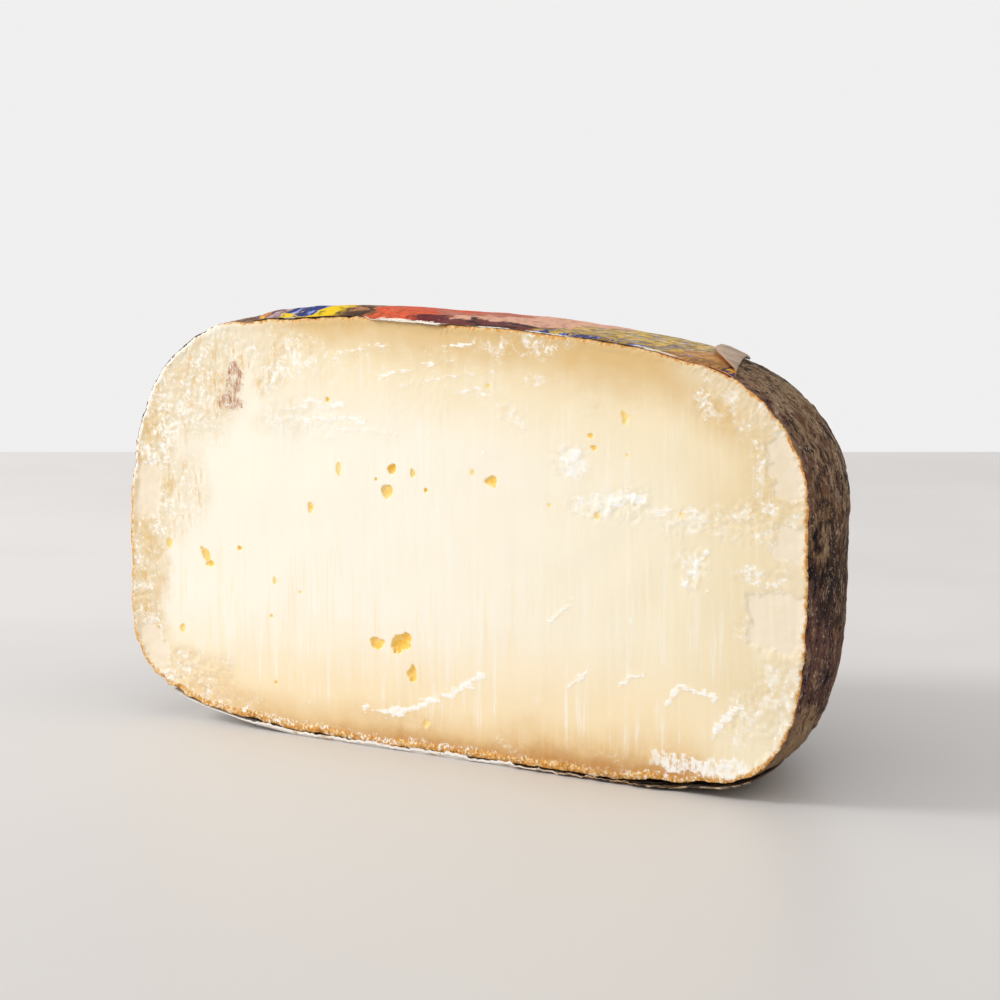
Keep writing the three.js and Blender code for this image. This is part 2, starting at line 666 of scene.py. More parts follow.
@dataclass(frozen=True)
class CutMarks:
    """Every eye, tear, chip and crumbly patch of the cut face.

    Places are millimetres along the cut and above the base, a line that far above the table.
    """

    eyes: tuple[Eye, ...] = (
        Eye(-13.7, 66.9, 2.6, 2.3, 0.8),
        Eye(-15.0, 61.3, 3.7, 3.4, 0.45, 0.5),
        Eye(-7.7, 66.3, 1.8, 2.7, 0.4),
        Eye(-18.3, 64.2, 1.0, 0.9, 0.8),
        Eye(-4.0, 62.5, 1.3, 1.2, 0.7),
        Eye(-29.2, 66.0, 1.6, 4.2, 0.3),
        Eye(-32.3, 82.4, 1.6, 1.5, 0.6),
        Eye(-37.7, 56.1, 1.9, 3.2, 0.4),
        Eye(14.4, 65.7, 3.3, 2.8, 0.5, 0.4),
        Eye(9.2, 67.6, 1.6, 1.9, 0.25),
        Eye(13.4, 87.8, 1.5, 1.3, 0.3),
        Eye(-82.1, 43.7, 2.0, 2.6, 0.4),
        Eye(-70.6, 42.0, 2.4, 4.4, 0.45, 0.5),
        Eye(-69.0, 39.6, 3.2, 2.0, 0.5),
        Eye(-59.7, 44.2, 1.4, 1.3, 0.7),
        Eye(-48.9, 37.1, 1.3, 2.2, 0.3),
        Eye(-41.3, 34.8, 1.2, 1.1, 0.2),
        Eye(-50.0, 28.1, 1.1, 1.0, 0.6),
        Eye(-78.3, 22.3, 1.8, 2.8, 0.4),
        Eye(-18.3, 24.6, 4.9, 2.9, 0.5, -0.25),
        Eye(-11.6, 25.0, 5.2, 4.6, 0.6, 0.5),
        Eye(-9.6, 26.6, 2.8, 3.2, 0.6),
        Eye(-8.1, 18.1, 3.0, 3.7, 0.5),
        Eye(-48.8, 11.6, 1.1, 1.0, 0.7),
        Eye(-4.1, 6.6, 1.8, 2.2, 0.4),
        Eye(40.9, 77.9, 1.7, 1.4, 0.6),
        Eye(41.7, 75.1, 1.5, 1.4, 0.6),
        Eye(49.7, 82.3, 2.1, 3.1, 0.4),
        Eye(50.2, 74.0, 1.3, 1.2, 0.25),
        Eye(42.7, 60.0, 1.8, 2.0, 0.35),
        Eye(64.2, 61.7, 1.3, 1.2, 0.25),
        Eye(29.9, 61.3, 1.0, 0.9, 0.3),
    )
    crumbly: tuple[Patch, ...] = (
        Patch(-52, 93, 22, 7, 0.6),
        Patch(-72, 84, 12, 14, 0.65),
        Patch(-50, 88, 6, 5, 0.85),
        Patch(-83, 82, 3, 12, 0.95),
        Patch(-86, 66, 6, 20, 0.85),
        Patch(-78, 58, 9, 12, 0.45),
        Patch(-90, 36, 6, 22, 0.7),
        Patch(-78, 10, 15, 7, 0.95),
        Patch(-62, 5, 14, 4, 0.55),
        Patch(-40, 77, 16, 6, 0.45),
        Patch(-28, 92, 20, 5, 0.3),
        Patch(5, 86, 26, 10, 0.25),
        Patch(36, 72, 5, 4.0, 0.8),
        Patch(49, 62.5, 8, 4.0, 0.95),
        Patch(38, 60, 4, 3, 0.6),
        Patch(19.5, 80, 3.2, 2.2, 0.8),
        Patch(18, 83.5, 2.6, 1.4, 0.6),
        Patch(27, 89.5, 4, 1.6, 0.65),
        Patch(41, 84, 5, 2.4, 0.4),
        Patch(22, 97, 16, 3.5, 0.6),
        Patch(70, 86.5, 3.6, 2.4, 0.85),
        Patch(78, 88, 9, 7, 0.6),
        Patch(84, 76, 4, 8, 0.5),
        Patch(86, 66, 6, 2.6, 0.7),
        Patch(82, 61, 12, 5, 0.6),
        Patch(66, 60, 9, 3.0, 0.6),
        Patch(67, 50, 3.6, 5.0, 0.8),
        Patch(84, 49.5, 7, 2.2, 0.75),
        Patch(80, 40, 3, 5, 0.6),
        Patch(88, 24, 6.5, 13, 0.62),
        Patch(80, 17, 6, 7, 0.55),
        Patch(48, 4.5, 9, 2.0, 0.25),
        Patch(20, 6.0, 5, 2.4, 0.3),
        Patch(-8, 6.0, 9, 3.0, 0.3),
    )
    strokes: tuple[Stroke, ...] = (
        Stroke(((-22.0, 8.3), (-16.5, 7.8), (-11.4, 8.4), (-4.0, 11.5), (4.0, 15.0), (11.9, 19.7)), 1.6),
        Stroke(((58.5, 5.6), (66.0, 5.4), (73.0, 5.2), (79.5, 6.4)), 3.7),
        Stroke(((30.0, 34.5), (33.0, 36.5), (36.0, 40.0)), 0.6),
        Stroke(((35.0, 19.5), (40.0, 23.5)), 0.6),
        Stroke(((49.0, 21.5), (51.5, 24.0), (55.0, 24.4)), 0.7),
        Stroke(((61.0, 19.0), (64.0, 23.0), (68.0, 22.6), (72.5, 21.0)), 1.1),
        Stroke(((72.5, 13.0), (75.5, 17.5), (80.0, 20.5)), 1.5),
        Stroke(((65.0, 46.0), (68.0, 50.5), (70.5, 54.0)), 1.2),
        Stroke(((-29.0, 93.5), (-20.0, 95.5), (-15.0, 96.0)), 1.2, 0.6),
        Stroke(((-18.0, 88.5), (-6.0, 91.5), (4.0, 93.5)), 0.9, 0.5),
        Stroke(((-10.0, 87.0), (2.0, 89.5), (14.0, 91.5)), 0.8, 0.5),
        Stroke(((-4.0, 94.5), (4.0, 96.5), (9.0, 97.5)), 0.9, 0.5),
        Stroke(((-46.0, 79.5), (-38.0, 81.5), (-28.0, 81.0)), 1.6, 0.65),
        Stroke(((-40.0, 77.0), (-28.0, 78.5), (-22.0, 78.0)), 1.4, 0.6),
        Stroke(((-30.0, 74.5), (-22.0, 76.0), (-12.0, 75.0)), 1.2, 0.6),
        Stroke(((4.0, 85.5), (9.0, 87.0), (13.0, 86.0)), 0.9, 0.6),
        Stroke(((45.5, 61.0), (49.5, 65.0), (54.0, 64.0)), 2.6, 0.8),
        Stroke(((56.0, 61.0), (61.0, 62.5)), 1.4, 0.7),
        Stroke(((35.0, 70.5), (37.5, 74.0)), 2.2, 0.8),
    )
    chips: tuple[Chip, ...] = (
        Chip(88.5, 39.5, 8.2, 6.6, 0.0, 0.28),
        Chip(91.0, 74.0, 5.2, 7.0, 0.35, 0.2),
        Chip(91.0, 57.0, 4.2, 3.6, 0.0, 0.18),
        Chip(-88.8, 56.5, 3.6, 7.0, -0.12, 0.2),
        Chip(-87.5, 16.5, 3.6, 6.6, 0.45, 0.25),
    )
    stains: tuple[Patch, ...] = (Patch(-62.4, 80.4, 4.2, 2.1), Patch(-60.6, 86.0, 2.8, 4.6, 0.75))
    base: float = 1.0

    def torn(self, x: float, z: float) -> float:
        """How torn or crumbly the paste is at a point, 0 to 1.

        Args:
            x: Millimetres along the cut.
            z: Millimetres above the marks' base.

        Returns:
            The share.
        """
        x += 3.0 * noise.noise(Vector((x * 0.12, z * 0.12, 2.0)))
        z += 3.0 * noise.noise(Vector((x * 0.12, z * 0.12, 6.0)))
        patches = max(patch.cover(x, z, 0.65) for patch in self.crumbly)
        return min(1.0, patches)

    def dragged(self, x: float, z: float) -> float:
        """How much of a dragged line there is at a point, 0 to 1."""
        return max(stroke.cover(x, z) for stroke in self.strokes)

    def chipped(self, x: float, z: float) -> tuple[float, float]:
        """The chip at a point: how much of it there is, 0 to 1, and how deep it lies."""
        found = ((chip.cover(x, z), chip.depth) for chip in self.chips)
        return max(found, key=lambda pair: pair[0])

    def stained(self, x: float, z: float) -> float:
        """How much of the stain there is at a point, 0 to 1."""
        x += 1.2 * noise.noise(Vector((x * 0.5, z * 0.5, 12.0)))
        return max(patch.cover(x, z, 0.4) for patch in self.stains)

    def hollow(self, x: float, z: float) -> tuple[float, float]:
        """The eye at a point.

        Args:
            x: Millimetres along the cut.
            z: Millimetres above the marks' base.

        Returns:
            How deep in an eye's colour the point lies, 0 to 1, and the eye's depth there in millimetres.
        """
        inside, depth = 0.0, 0.0
        for eye in self.eyes:
            if abs(x - eye.x) > eye.width + 0.5 or abs(z - eye.z) > eye.height + 0.5:
                continue
            away = eye.away(x, z)
            inside = max(inside, smooth_between(1.25, 0.82, away) * min(1.0, 0.35 + eye.depth))
            bowl = max(0.0, 1 - away**2) ** 0.5
            depth = max(depth, 0.35 * bowl * eye.depth * min(eye.width, eye.height))
        return inside, depth


class CheeseLook(Enum):
    """The materials of the cheese, by their place in its material slots."""

    PASTE = 0
    RIND = 1


# ---------------------------------------------------------------------------------------------
# The cheese


def rind_lumps(place: Vector) -> float:
    """The slow lumps of the wheel, which the labels follow too.

    Args:
        place: A point of the outside.

    Returns:
        How far it stands out, in metres.
    """
    lumps = noise.noise(place * 34) * 0.6
    folds = noise.noise(Vector((place.x * 95, place.y * 95, place.z * 70)) + Vector((3.1, 7.7, 1.9))) * 0.28
    return (lumps + folds) * MM


def rind_crust(place: Vector) -> float:
    """The dry crust of the rind: wrinkles, grains and pits.

    Args:
        place: A point of the outside.

    Returns:
        How far it stands out, in metres.
    """
    low = smooth_between(34 * MM, 6 * MM, place.z)
    wrinkle = 1 - abs(noise.noise(Vector((place.x * 130, place.y * 130, place.z * 260))))
    grains = noise.fractal(place * 330, 0.9, 2.2, 3)
    pits = min(0.0, noise.noise(place * 210) + 0.2)
    return (grains * 0.30 + pits * 1.0 + (wrinkle - 0.8) * (0.45 + 0.9 * low)) * MM


@dataclass
class Cheese:
    """Paste and rind of the half wheel, one closed piece."""

    shape: WheelShape
    marks: CutMarks = field(default_factory=CutMarks)
    spacing: float = 0.8 * MM
    turns: int = 174
    crowding: float = 0.25
    bare_base: float = 0.8
    bare_crown: float = 3.42
    grid_corner: float = 1.5
    edge_round: float = 0.9 * MM
    fine_rim: float = 2.6 * MM
    lowest: float = 0.3 * MM

    def build(self) -> bpy.types.Object:
        """Models the piece and dresses it.

        Returns:
            The finished object.
        """
        sheet = bmesh.new()
        self.sheet = sheet
        self.station = sheet.verts.layers.float.new("station")
        names = ("depth", "eye", "torn", "drag", "chip", "stain")
        self.layers = {name: sheet.verts.layers.float.new(name) for name in names}
        self.spin_skin()
        self.draw_cut_outline()
        self.fill_cut()
        self.close_hidden_caps()
        bmesh.ops.recalc_face_normals(sheet, faces=sheet.faces)
        self.refine_cut()
        self.carve_cut()
        for face in sheet.faces:
            face.smooth = True
        mesh = bpy.data.meshes.new("cheese_body")
        sheet.to_mesh(mesh)
        sheet.free()
        body = bpy.data.objects.new("cheese_body", mesh)
        mesh.materials.append(PasteFinish().material())
        mesh.materials.append(RindFinish().material())
        return body

    def spin_skin(self) -> None:
        """Spins the wall and shoulders, which the labels leave bare, and crusts them."""
        sheet, shape = self.sheet, self.shape
        self.all_stations = shape.stations(0.0, 4.0, self.spacing)
        bare = [station for station in self.all_stations if self.bare_base <= station <= self.bare_crown]
        middle = shape.side_at(math.pi / 2)
        line = []
        for station in bare:
            radius, level = shape.outline(middle, station)
            line.append(sheet.verts.new((radius, 0, level)))
            line[-1][self.station] = station
        edges = [sheet.edges.new(pair) for pair in zip(line, line[1:])]
        bmesh.ops.spin(
            sheet,
            geom=line + edges,
            cent=(0, 0, 0),
            axis=(0, 0, 1),
            angle=math.pi,
            steps=self.turns,
            use_merge=False,
        )
        self.ends: dict[bool, list[BMVert]] = {True: [], False: []}
        for vert in sheet.verts:
            turn = abs(math.atan2(vert.co.y, vert.co.x))
            if min(turn, math.pi - turn) < 0.001:
                self.ends[turn < 1].append(vert)
            vert.co = shape.point(vert[self.station], turn - self.crowding * math.sin(2 * turn))
        bmesh.ops.recalc_face_normals(sheet, faces=sheet.faces)
        sheet.normal_update()
        on_cut = set(self.ends[True] + self.ends[False])
        middle_place = Vector((shape.axis_x, shape.cut_y + 20 * MM, shape.height / 2))
        for vert in sheet.verts:
            outwards = vert.normal.copy()
            if vert in on_cut:
                outwards.y = 0
                outwards.normalize()
            if outwards.dot(vert.co - middle_place) < 0:
                outwards.negate()
            vert.co += outwards * (rind_lumps(vert.co) + rind_crust(vert.co))
            vert.co.z = max(vert.co.z, self.lowest)
        for face in sheet.faces:
            face.material_index = CheeseLook.RIND.value

    def draw_cut_outline(self) -> None:
        """Joins the two ends of the skin across the base and the crown, in the plane of the cut."""
        sheet = self.sheet
        for verts in self.ends.values():
            verts.sort(key=lambda vert: vert[self.station])
        below = [station for station in self.all_stations if 0 < station < self.bare_base]
        above = [station for station in self.all_stations if self.bare_crown < station < 4]
        self.sides: dict[bool, list[BMVert]] = {}
        for high_side, turn in ((True, 0.0), (False, math.pi)):
            low_part = [self.outline_vert(station, turn) for station in below]
            high_part = [self.outline_vert(station, turn) for station in above]
            self.sides[high_side] = low_part + self.ends[high_side] + high_part
        base_middle, crown_middle = self.outline_vert(0.0, 0.0), self.outline_vert(4.0, 0.0)
        self.loop = [base_middle, *self.sides[True], crown_middle, *reversed(self.sides[False])]
        for pair in zip(self.loop, self.loop[1:] + self.loop[:1]):
            if not sheet.edges.get(pair):
                sheet.edges.new(pair)
        self.outline_edges = [sheet.edges.get(pair) for pair in zip(self.loop, self.loop[1:] + self.loop[:1])]

    def outline_vert(self, station: float, turn: float) -> BMVert:
        """A vertex of the cut's outline, lumpy as the skin is.

        Args:
            station: How far along the outline it lies.
            turn: Its angle about the axis.

        Returns:
            The new vertex.
        """
        place = self.shape.point(min(station, 4.0), turn)
        upwards = 1 if station > 2 else -0.15
        place.z += upwards * (rind_lumps(place) + 0.5 * rind_crust(place))
        place.z = max(place.z, self.lowest)
        vert = self.sheet.verts.new(place)
        vert[self.station] = station
        return vert

    def fill_cut(self) -> None:
        """Fills the cut with an even net between its outline's four stretches."""
        half, total = len(self.sides[True]) + 1, len(self.loop)
        low = min(range(half), key=lambda index: abs(self.loop[index][self.station] - self.grid_corner))
        high = half - low
        base = [self.outline_edges[index % total] for index in range(total - low, total + low)]
        crown = [self.outline_edges[index] for index in range(high, total - high)]
        filled = bmesh.ops.grid_fill(
            self.sheet,
            edges=base + crown,
            mat_nr=CheeseLook.PASTE.value,
            use_smooth=True,
            use_interp_simple=True,
        )
        for edge in self.outline_edges:
            edge.smooth = False
        self.rim = [vert.co.copy() for vert in self.loop]
        self.rim_tree = kdtree.KDTree(len(self.rim))
        for index, place in enumerate(self.rim):
            self.rim_tree.insert(place, index)
        self.rim_tree.balance()
        LOG.info("the cut is a net of %d faces", len(filled["faces"]))

    def close_hidden_caps(self) -> None:
        """Closes the base and the crown where the labels hide them."""
        sheet = self.sheet
        open_edges = [edge for edge in sheet.edges if edge.is_boundary]
        for upper in (False, True):
            rim = [edge for edge in open_edges if (edge.verts[0].co.z > self.shape.height / 2) == upper]
            bmesh.ops.edgeloop_fill(sheet, edges=rim, mat_nr=CheeseLook.RIND.value, use_smooth=False)

    def cut_faces(self) -> list[BMFace]:
        """The faces of the cut."""
        return [face for face in self.sheet.faces if face.material_index == CheeseLook.PASTE.value]

    def refine_cut(self) -> None:
        """Makes the net finer along the rim and in torn places, and finer still at the eyes."""
        self.refine(self.is_rough, 1)
        self.refine(self.is_by_eye, 1)

    def refine(self, wanted: Callable[[float, float, Vector], bool], cuts: int) -> None:
        """Divides the faces of the cut whose middles are wanted.

        Args:
            wanted: Whether a face is divided, from its middle in millimetres and in metres.
            cuts: How many times each edge is cut.
        """
        chosen = set()
        for face in self.cut_faces():
            middle = face.calc_center_median()
            if wanted(middle.x / MM, middle.z / MM - self.marks.base, middle):
                chosen.update(edge for edge in face.edges if len(edge.link_faces) == 2 and edge.smooth)
        bmesh.ops.subdivide_edges(self.sheet, edges=list(chosen), cuts=cuts, use_grid_fill=True)

    def is_rough(self, x: float, z: float, middle: Vector) -> bool:
        """Whether the paste is torn there or close to the rim, or there is an eye.

        Args:
            x: Millimetres along the cut.
            z: Millimetres above the marks' base.
            middle: The same place as a point of the cut.

        Returns:
            Whether the mesh needs to be finer there.
        """
        if self.rim_distance(middle) < self.fine_rim or self.is_by_eye(x, z, middle):
            return True
        return self.marks.torn(x, z) > 0.35 or self.marks.dragged(x, z) > 0.05 or self.is_by_chip(x, z)

    def is_by_chip(self, x: float, z: float) -> bool:
        """Whether a chip lies there.

        Args:
            x: Millimetres along the cut.
            z: Millimetres above the marks' base.

        Returns:
            Whether the place is on a chip or within 3 mm of one.
        """
        return any(
            abs(x - chip.x) < chip.half_width + 3 and abs(z - chip.z) < chip.half_height + 3
            for chip in self.marks.chips
        )

    def is_by_eye(self, x: float, z: float, middle: Vector) -> bool:
        """Whether an eye lies there.

        Args:
            x: Millimetres along the cut.
            z: Millimetres above the marks' base.
            middle: The same place as a point of the cut, which refine gives and this doesn't need.

        Returns:
            Whether the place is in an eye or just beside one.
        """
        return any(
            math.hypot(x - eye.x, z - eye.z) < 0.62 * max(eye.width, eye.height) + 0.7
            for eye in self.marks.eyes
        )

    def carve_cut(self) -> None:
        """Opens the eyes, tears the crumbly patches, splits off the chips and rounds the cut's edge."""
        marks = self.marks
        verts = {vert for face in self.cut_faces() for vert in face.verts}
        for vert in verts:
            x, z = vert.co.x / MM, vert.co.z / MM - marks.base
            depth = self.rim_distance(vert.co)
            torn, drag, stain = marks.torn(x, z), marks.dragged(x, z), marks.stained(x, z)
            chip, chip_depth = marks.chipped(x, z)
            inside, hollow = marks.hollow(x, z)
            torn = max(torn, 2.2 * chip * (1 - chip)) * (1 - 0.9 * smooth_between(0.7, 1.0, chip))
            for name, number in zip(self.layers, (depth / MM, inside, torn, drag, chip, stain)):
                vert[self.layers[name]] = number
            away = smooth_between(0.0, 1.2 * MM, depth)
            grain = Vector((x, z, 0.0))
            back = 0.30 * smooth_between(self.edge_round, 0.0, depth)
            back += 0.16 * noise.noise(grain * 0.09) * away
            back += 0.05 * noise.noise(Vector((x * 0.9 + z * 0.06, z * 0.05, 4.0))) * away
            crumbs = noise.fractal(grain * 0.62, 0.75, 2.1, 3)
            back += torn * (0.10 + 0.26 * crumbs) * away
            back -= drag * (0.03 + 0.08 * noise.noise(grain * 1.7))
            back += chip * (chip_depth + 0.06 * noise.noise(grain * 0.5)) * away
            crust = smooth_between(2.6 * MM, 0.2 * MM, depth) * (1 + 0.3 * smooth_between(14, 6, z))
            back -= crust * (0.10 + 0.38 * noise.noise(Vector((x * 0.95, z * 0.95, 9.0))))
            vert.co.y = self.shape.cut_y + (back + hollow) * MM

    def rim_distance(self, place: Vector) -> float:
        """Distance from a point of the cut to its outline.

        Args:
            place: A point of the cut.

        Returns:
            The distance in metres.
        """
        _, index, _ = self.rim_tree.find(place)
        here = self.rim[index]
        nearest = math.inf
        for neighbour in (self.rim[index - 1], self.rim[(index + 1) % len(self.rim)]):
            leg = neighbour - here
            share = min(1.0, max(0.0, (place - here).dot(leg) / leg.length_squared))
            nearest = min(nearest, (place - here - leg * share).length)
        return nearest


class PasteMaps:
    """The places, marks and clouds that the paste's colours are read from."""

    def __init__(self, sheet: NodeSheet) -> None:
        """Reads them, the places in millimetres.

        Args:
            sheet: The material's node sheet.
        """
        place = sheet.position()
        x, _, z = sheet.parts(place)
        self.x, self.z = x * 1000, z * 1000
        self.depth = sheet.attribute("depth")
        self.eye = sheet.attribute("eye")
        self.torn = sheet.attribute("torn")
        self.drag = sheet.attribute("drag")
        self.chip = sheet.attribute("chip")
        self.stain = sheet.attribute("stain")
        self.middling = sheet.cloud(place, 16 * MM, 5, 0.6)
        self.fine = sheet.cloud(place, 5 * MM, 6, 0.65)
        self.flecks = sheet.cloud(place, 2.4 * MM, 5, 0.72, 0.8)
        self.specks = sheet.cloud(place, 1.1 * MM, 4, 0.7)
        self.knife = sheet.cloud(sheet.stretched(place, (1, 1, 0.05), (0, 0.09, 0)), 1.3 * MM, 4, 0.65)
        self.grit = sheet.cloud(place, 0.8 * MM, 3, 0.7)
        self.combed = sheet.cloud(sheet.stretched(place, (1, 1, 0.25)), 1.4 * MM, 4, 0.7)
        self.strands = sheet.cloud(sheet.stretched(place, (0.2, 1, 1), (0, 0.35, 0)), 1.1 * MM, 4, 0.7)


@dataclass(frozen=True)
class PasteFinish:
    """The cut paste: ivory in the middle, golden tan towards the rind, torn white where the knife dragged."""

    cream: str = "#fcf5e3"
    ivory: str = "#f8ebcb"
    warm: str = "#fae4ba"
    tan: str = "#e9c68e"
    deep: str = "#c2853f"
    top_warm: str = "#f8e7c2"
    top_tan: str = "#e0bc7e"
    glassy: str = "#e9d09f"
    crumb: str = "#fffdf6"
    dull: str = "#e8cfa4"
    grey: str = "#e0d2ae"
    veil: str = "#ebdabb"
    chip: str = "#f7ebd7"
    eye: str = "#ffe096"
    eye_deep: str = "#ffc433"
    gold: str = "#dd9c44"
    straw: str = "#f7dfa8"
    amber: str = "#d0893a"
    brown: str = "#6a3710"
    rind_line: str = "#3a2113"
    stain: str = "#a85f2c"

    def material(self) -> bpy.types.Material:
        """Mixes the paste.

        Returns:
            The material.
        """
        made, sheet = new_material("paste")
        maps = PasteMaps(sheet)
        colour = self.body(sheet, maps)
        colour = self.torn_places(sheet, maps, colour)
        colour = self.white_places(sheet, maps, colour)
        colour = self.rim(sheet, maps, colour)
        height = maps.knife * 0.2 + maps.specks * 0.25
        height = height + maps.flecks * maps.torn * 0.8 + maps.combed * maps.torn * 0.4
        height = height + maps.strands * maps.drag * 0.8
        height = height + (1 - maps.depth.step(0.5, 2.5)) * maps.specks * 1.3
        sheet.finish(
            Base_Color=colour,
            Roughness=0.55 + (maps.fine - 0.5) * 0.3,
            Normal=sheet.bump(height, 0.35 * MM, 0.5),
            Specular_IOR_Level=0.3,
        )
        return made

    def body(self, sheet: NodeSheet, maps: PasteMaps) -> Paint:
        """The even paste: cream to ivory, warmer towards the base, the top and the +X end.

        Args:
            sheet: The material's node sheet.
            maps: The paste's maps.

        Returns:
            Its colour.
        """
        x, z, depth = maps.x, maps.z, maps.depth
        wobble = (maps.middling - 0.5) * 10 + (maps.fine - 0.5) * 5
        along = (x + (maps.middling - 0.5) * 60).step(-12, 88)
        colour = sheet.mixed(paint(self.cream), paint(self.ivory), along)
        left = 1 - (x + depth * 0.4 + (maps.fine - 0.5) * 16).step(-87, -74)
        colour = sheet.mixed(colour, paint(self.dull), left * 0.92)
        ochre = left * z.step(22, 36) * (1 - z.step(46, 56)) * maps.flecks.step(0.4, 0.55)
        colour = sheet.mixed(colour, paint(self.top_tan), ochre * 0.8)
        clear = 1 - z.step(20, 32) * (1 - z.step(58, 68)) * 0.6
        glassy = 1 - (depth - 12 + (maps.fine - 0.5) * 6).maths("ABSOLUTE").step(2, 12)
        glassy = glassy * x.step(58, 82) * z.step(12, 30) * clear
        colour = sheet.mixed(colour, paint(self.glassy), glassy * 0.9)
        by_end = (1 - (depth + (maps.fine - 0.5) * 5).step(2.0, 8.0)) * x.step(56, 72)

        top = z.step(52, 82) * x.step(-66, -36) * (1 - by_end * 0.6) * (1 - x.step(72, 84) * 0.6)
        down = depth + wobble - x * 0.05
        colour = sheet.mixed(colour, paint(self.top_warm), (1 - down.step(9, 32)) * top * 0.95)
        colour = sheet.mixed(colour, paint(self.top_tan), (1 - down.step(0.5, 14)) * top * 0.95)
        base = (1 - z.step(30, 42)) * (1 - x.step(62, 80)) * x.step(-96, -78)
        up = z + wobble * 0.8 - x * 0.03
        colour = sheet.mixed(colour, paint(self.warm), (1 - up.step(9, 36)) * base * 0.95)
        colour = sheet.mixed(colour, paint(self.tan), (1 - up.step(4, 14)) * base * 0.95)
        colour = sheet.mixed(colour, paint(self.deep), (1 - up.step(0.5, 7.5)) * base * 0.95)

        colour = sheet.mixed(colour, paint(self.veil), by_end * z.step(8, 20) * 0.55)
        lit = maps.knife.step(0.5, 0.7) * (0.4 + (1 - z.step(10, 45)) * 0.3) * depth.step(3, 12)
        colour = sheet.mixed(colour, paint(self.crumb), lit * maps.middling.step(0.38, 0.58) * 0.8)
        shaded = (1 - maps.knife.step(0.34, 0.46)) * (1 - z.step(30, 60)) * depth.step(3, 12)
        return sheet.mixed(colour, paint(self.warm), shaded * 0.4)

    def torn_places(self, sheet: NodeSheet, maps: PasteMaps, colour: Paint) -> Paint:
        """Dull, combed paste along the -X end, the chips, the stain and the eyes.

        Args:
            sheet: The material's node sheet.
            maps: The paste's maps.
            colour: The colour so far.

        Returns:
            The colour with those on it.
        """
        low_end = (1 - maps.z.step(10, 24)) * (1 - maps.x.step(-60, -30))
        torn = maps.torn.step(0.05, 0.6) * (1 - (maps.x + maps.fine * 20).step(-52, -24) * 0.88)
        torn = torn * (1 - low_end * 0.9)
        dull = sheet.mixed(paint(self.dull), paint(self.grey), maps.combed.step(0.44, 0.58))
        dulled = torn * (maps.middling * 0.5 + maps.fine * 0.5).step(0.40, 0.53)
        colour = sheet.mixed(colour, dull, dulled * (0.75 + maps.z.step(76, 88) * 0.2))
        ochre = torn * (1 - (maps.combed * 0.5 + maps.fine * 0.5).step(0.40, 0.48))
        colour = sheet.mixed(colour, paint(self.top_tan), ochre * 0.75)
        golden = maps.torn.step(0.1, 0.6) * low_end * (maps.flecks * 0.5 + maps.fine * 0.5).step(0.4, 0.56)
        colour = sheet.mixed(colour, paint(self.tan), golden * 0.75)
        chip = maps.chip * (0.85 + (maps.fine - 0.5) * 1.5).at_most(1.0)
        colour = sheet.mixed(colour, paint(self.chip), chip * 0.7)
        stained = (maps.stain + (maps.flecks - 0.5) * 3.0 + (maps.combed - 0.5) * 2.0).step(0.3, 1.0)
        stained = stained * maps.stain.step(0.02, 0.4) * (0.58 + maps.combed.step(0.4, 0.6) * 0.36)
        colour = sheet.mixed(colour, paint(self.stain), stained)
        colour = sheet.mixed(colour, paint(self.eye), maps.eye.step(0.15, 0.6))
        deepest = (maps.eye + (maps.specks - 0.5) * 1.4).step(0.6, 1.1)
        return sheet.mixed(colour, paint(self.eye_deep), deepest * 0.9)

    def white_places(self, sheet: NodeSheet, maps: PasteMaps, colour: Paint) -> Paint:
        """White crumbs where the paste is torn, and white strands along the dragged lines.

        Args:
            sheet: The material's node sheet.
            maps: The paste's maps.
            colour: The colour so far.

        Returns:
            The colour with those on it.
        """
        left = 1 - maps.x.step(-60, -30)
        crumbs = maps.specks * 0.45 + maps.flecks * 0.3 + maps.fine * 0.25
        crumbs = crumbs + maps.torn * 0.07 + (maps.middling - 0.5) * 0.22
        crumbs = crumbs.step(0.54, 0.64) * maps.torn.step(0.1, 0.5)
        halo = (maps.flecks * 0.5 + maps.fine * 0.5).step(0.48, 0.58) * maps.torn.step(0.2, 0.8)
        halo = halo * (0.6 - left * 0.25)
        strands = maps.strands + maps.drag * 0.17 + (maps.specks - 0.5) * 0.3
        strands = strands.step(0.57, 0.65) * maps.drag.step(0.05, 0.4)
        broken = (maps.combed * 0.6 + maps.specks * 0.4).step(0.38, 0.54) * maps.drag.step(0.2, 0.7)
        low_end = (1 - maps.z.step(9, 12)) * maps.x.step(54, 60)
        white = crumbs.at_least(halo).at_least(strands * (1 - low_end)).at_least(broken * low_end)
        return sheet.mixed(colour, paint(self.crumb), white * 0.95)

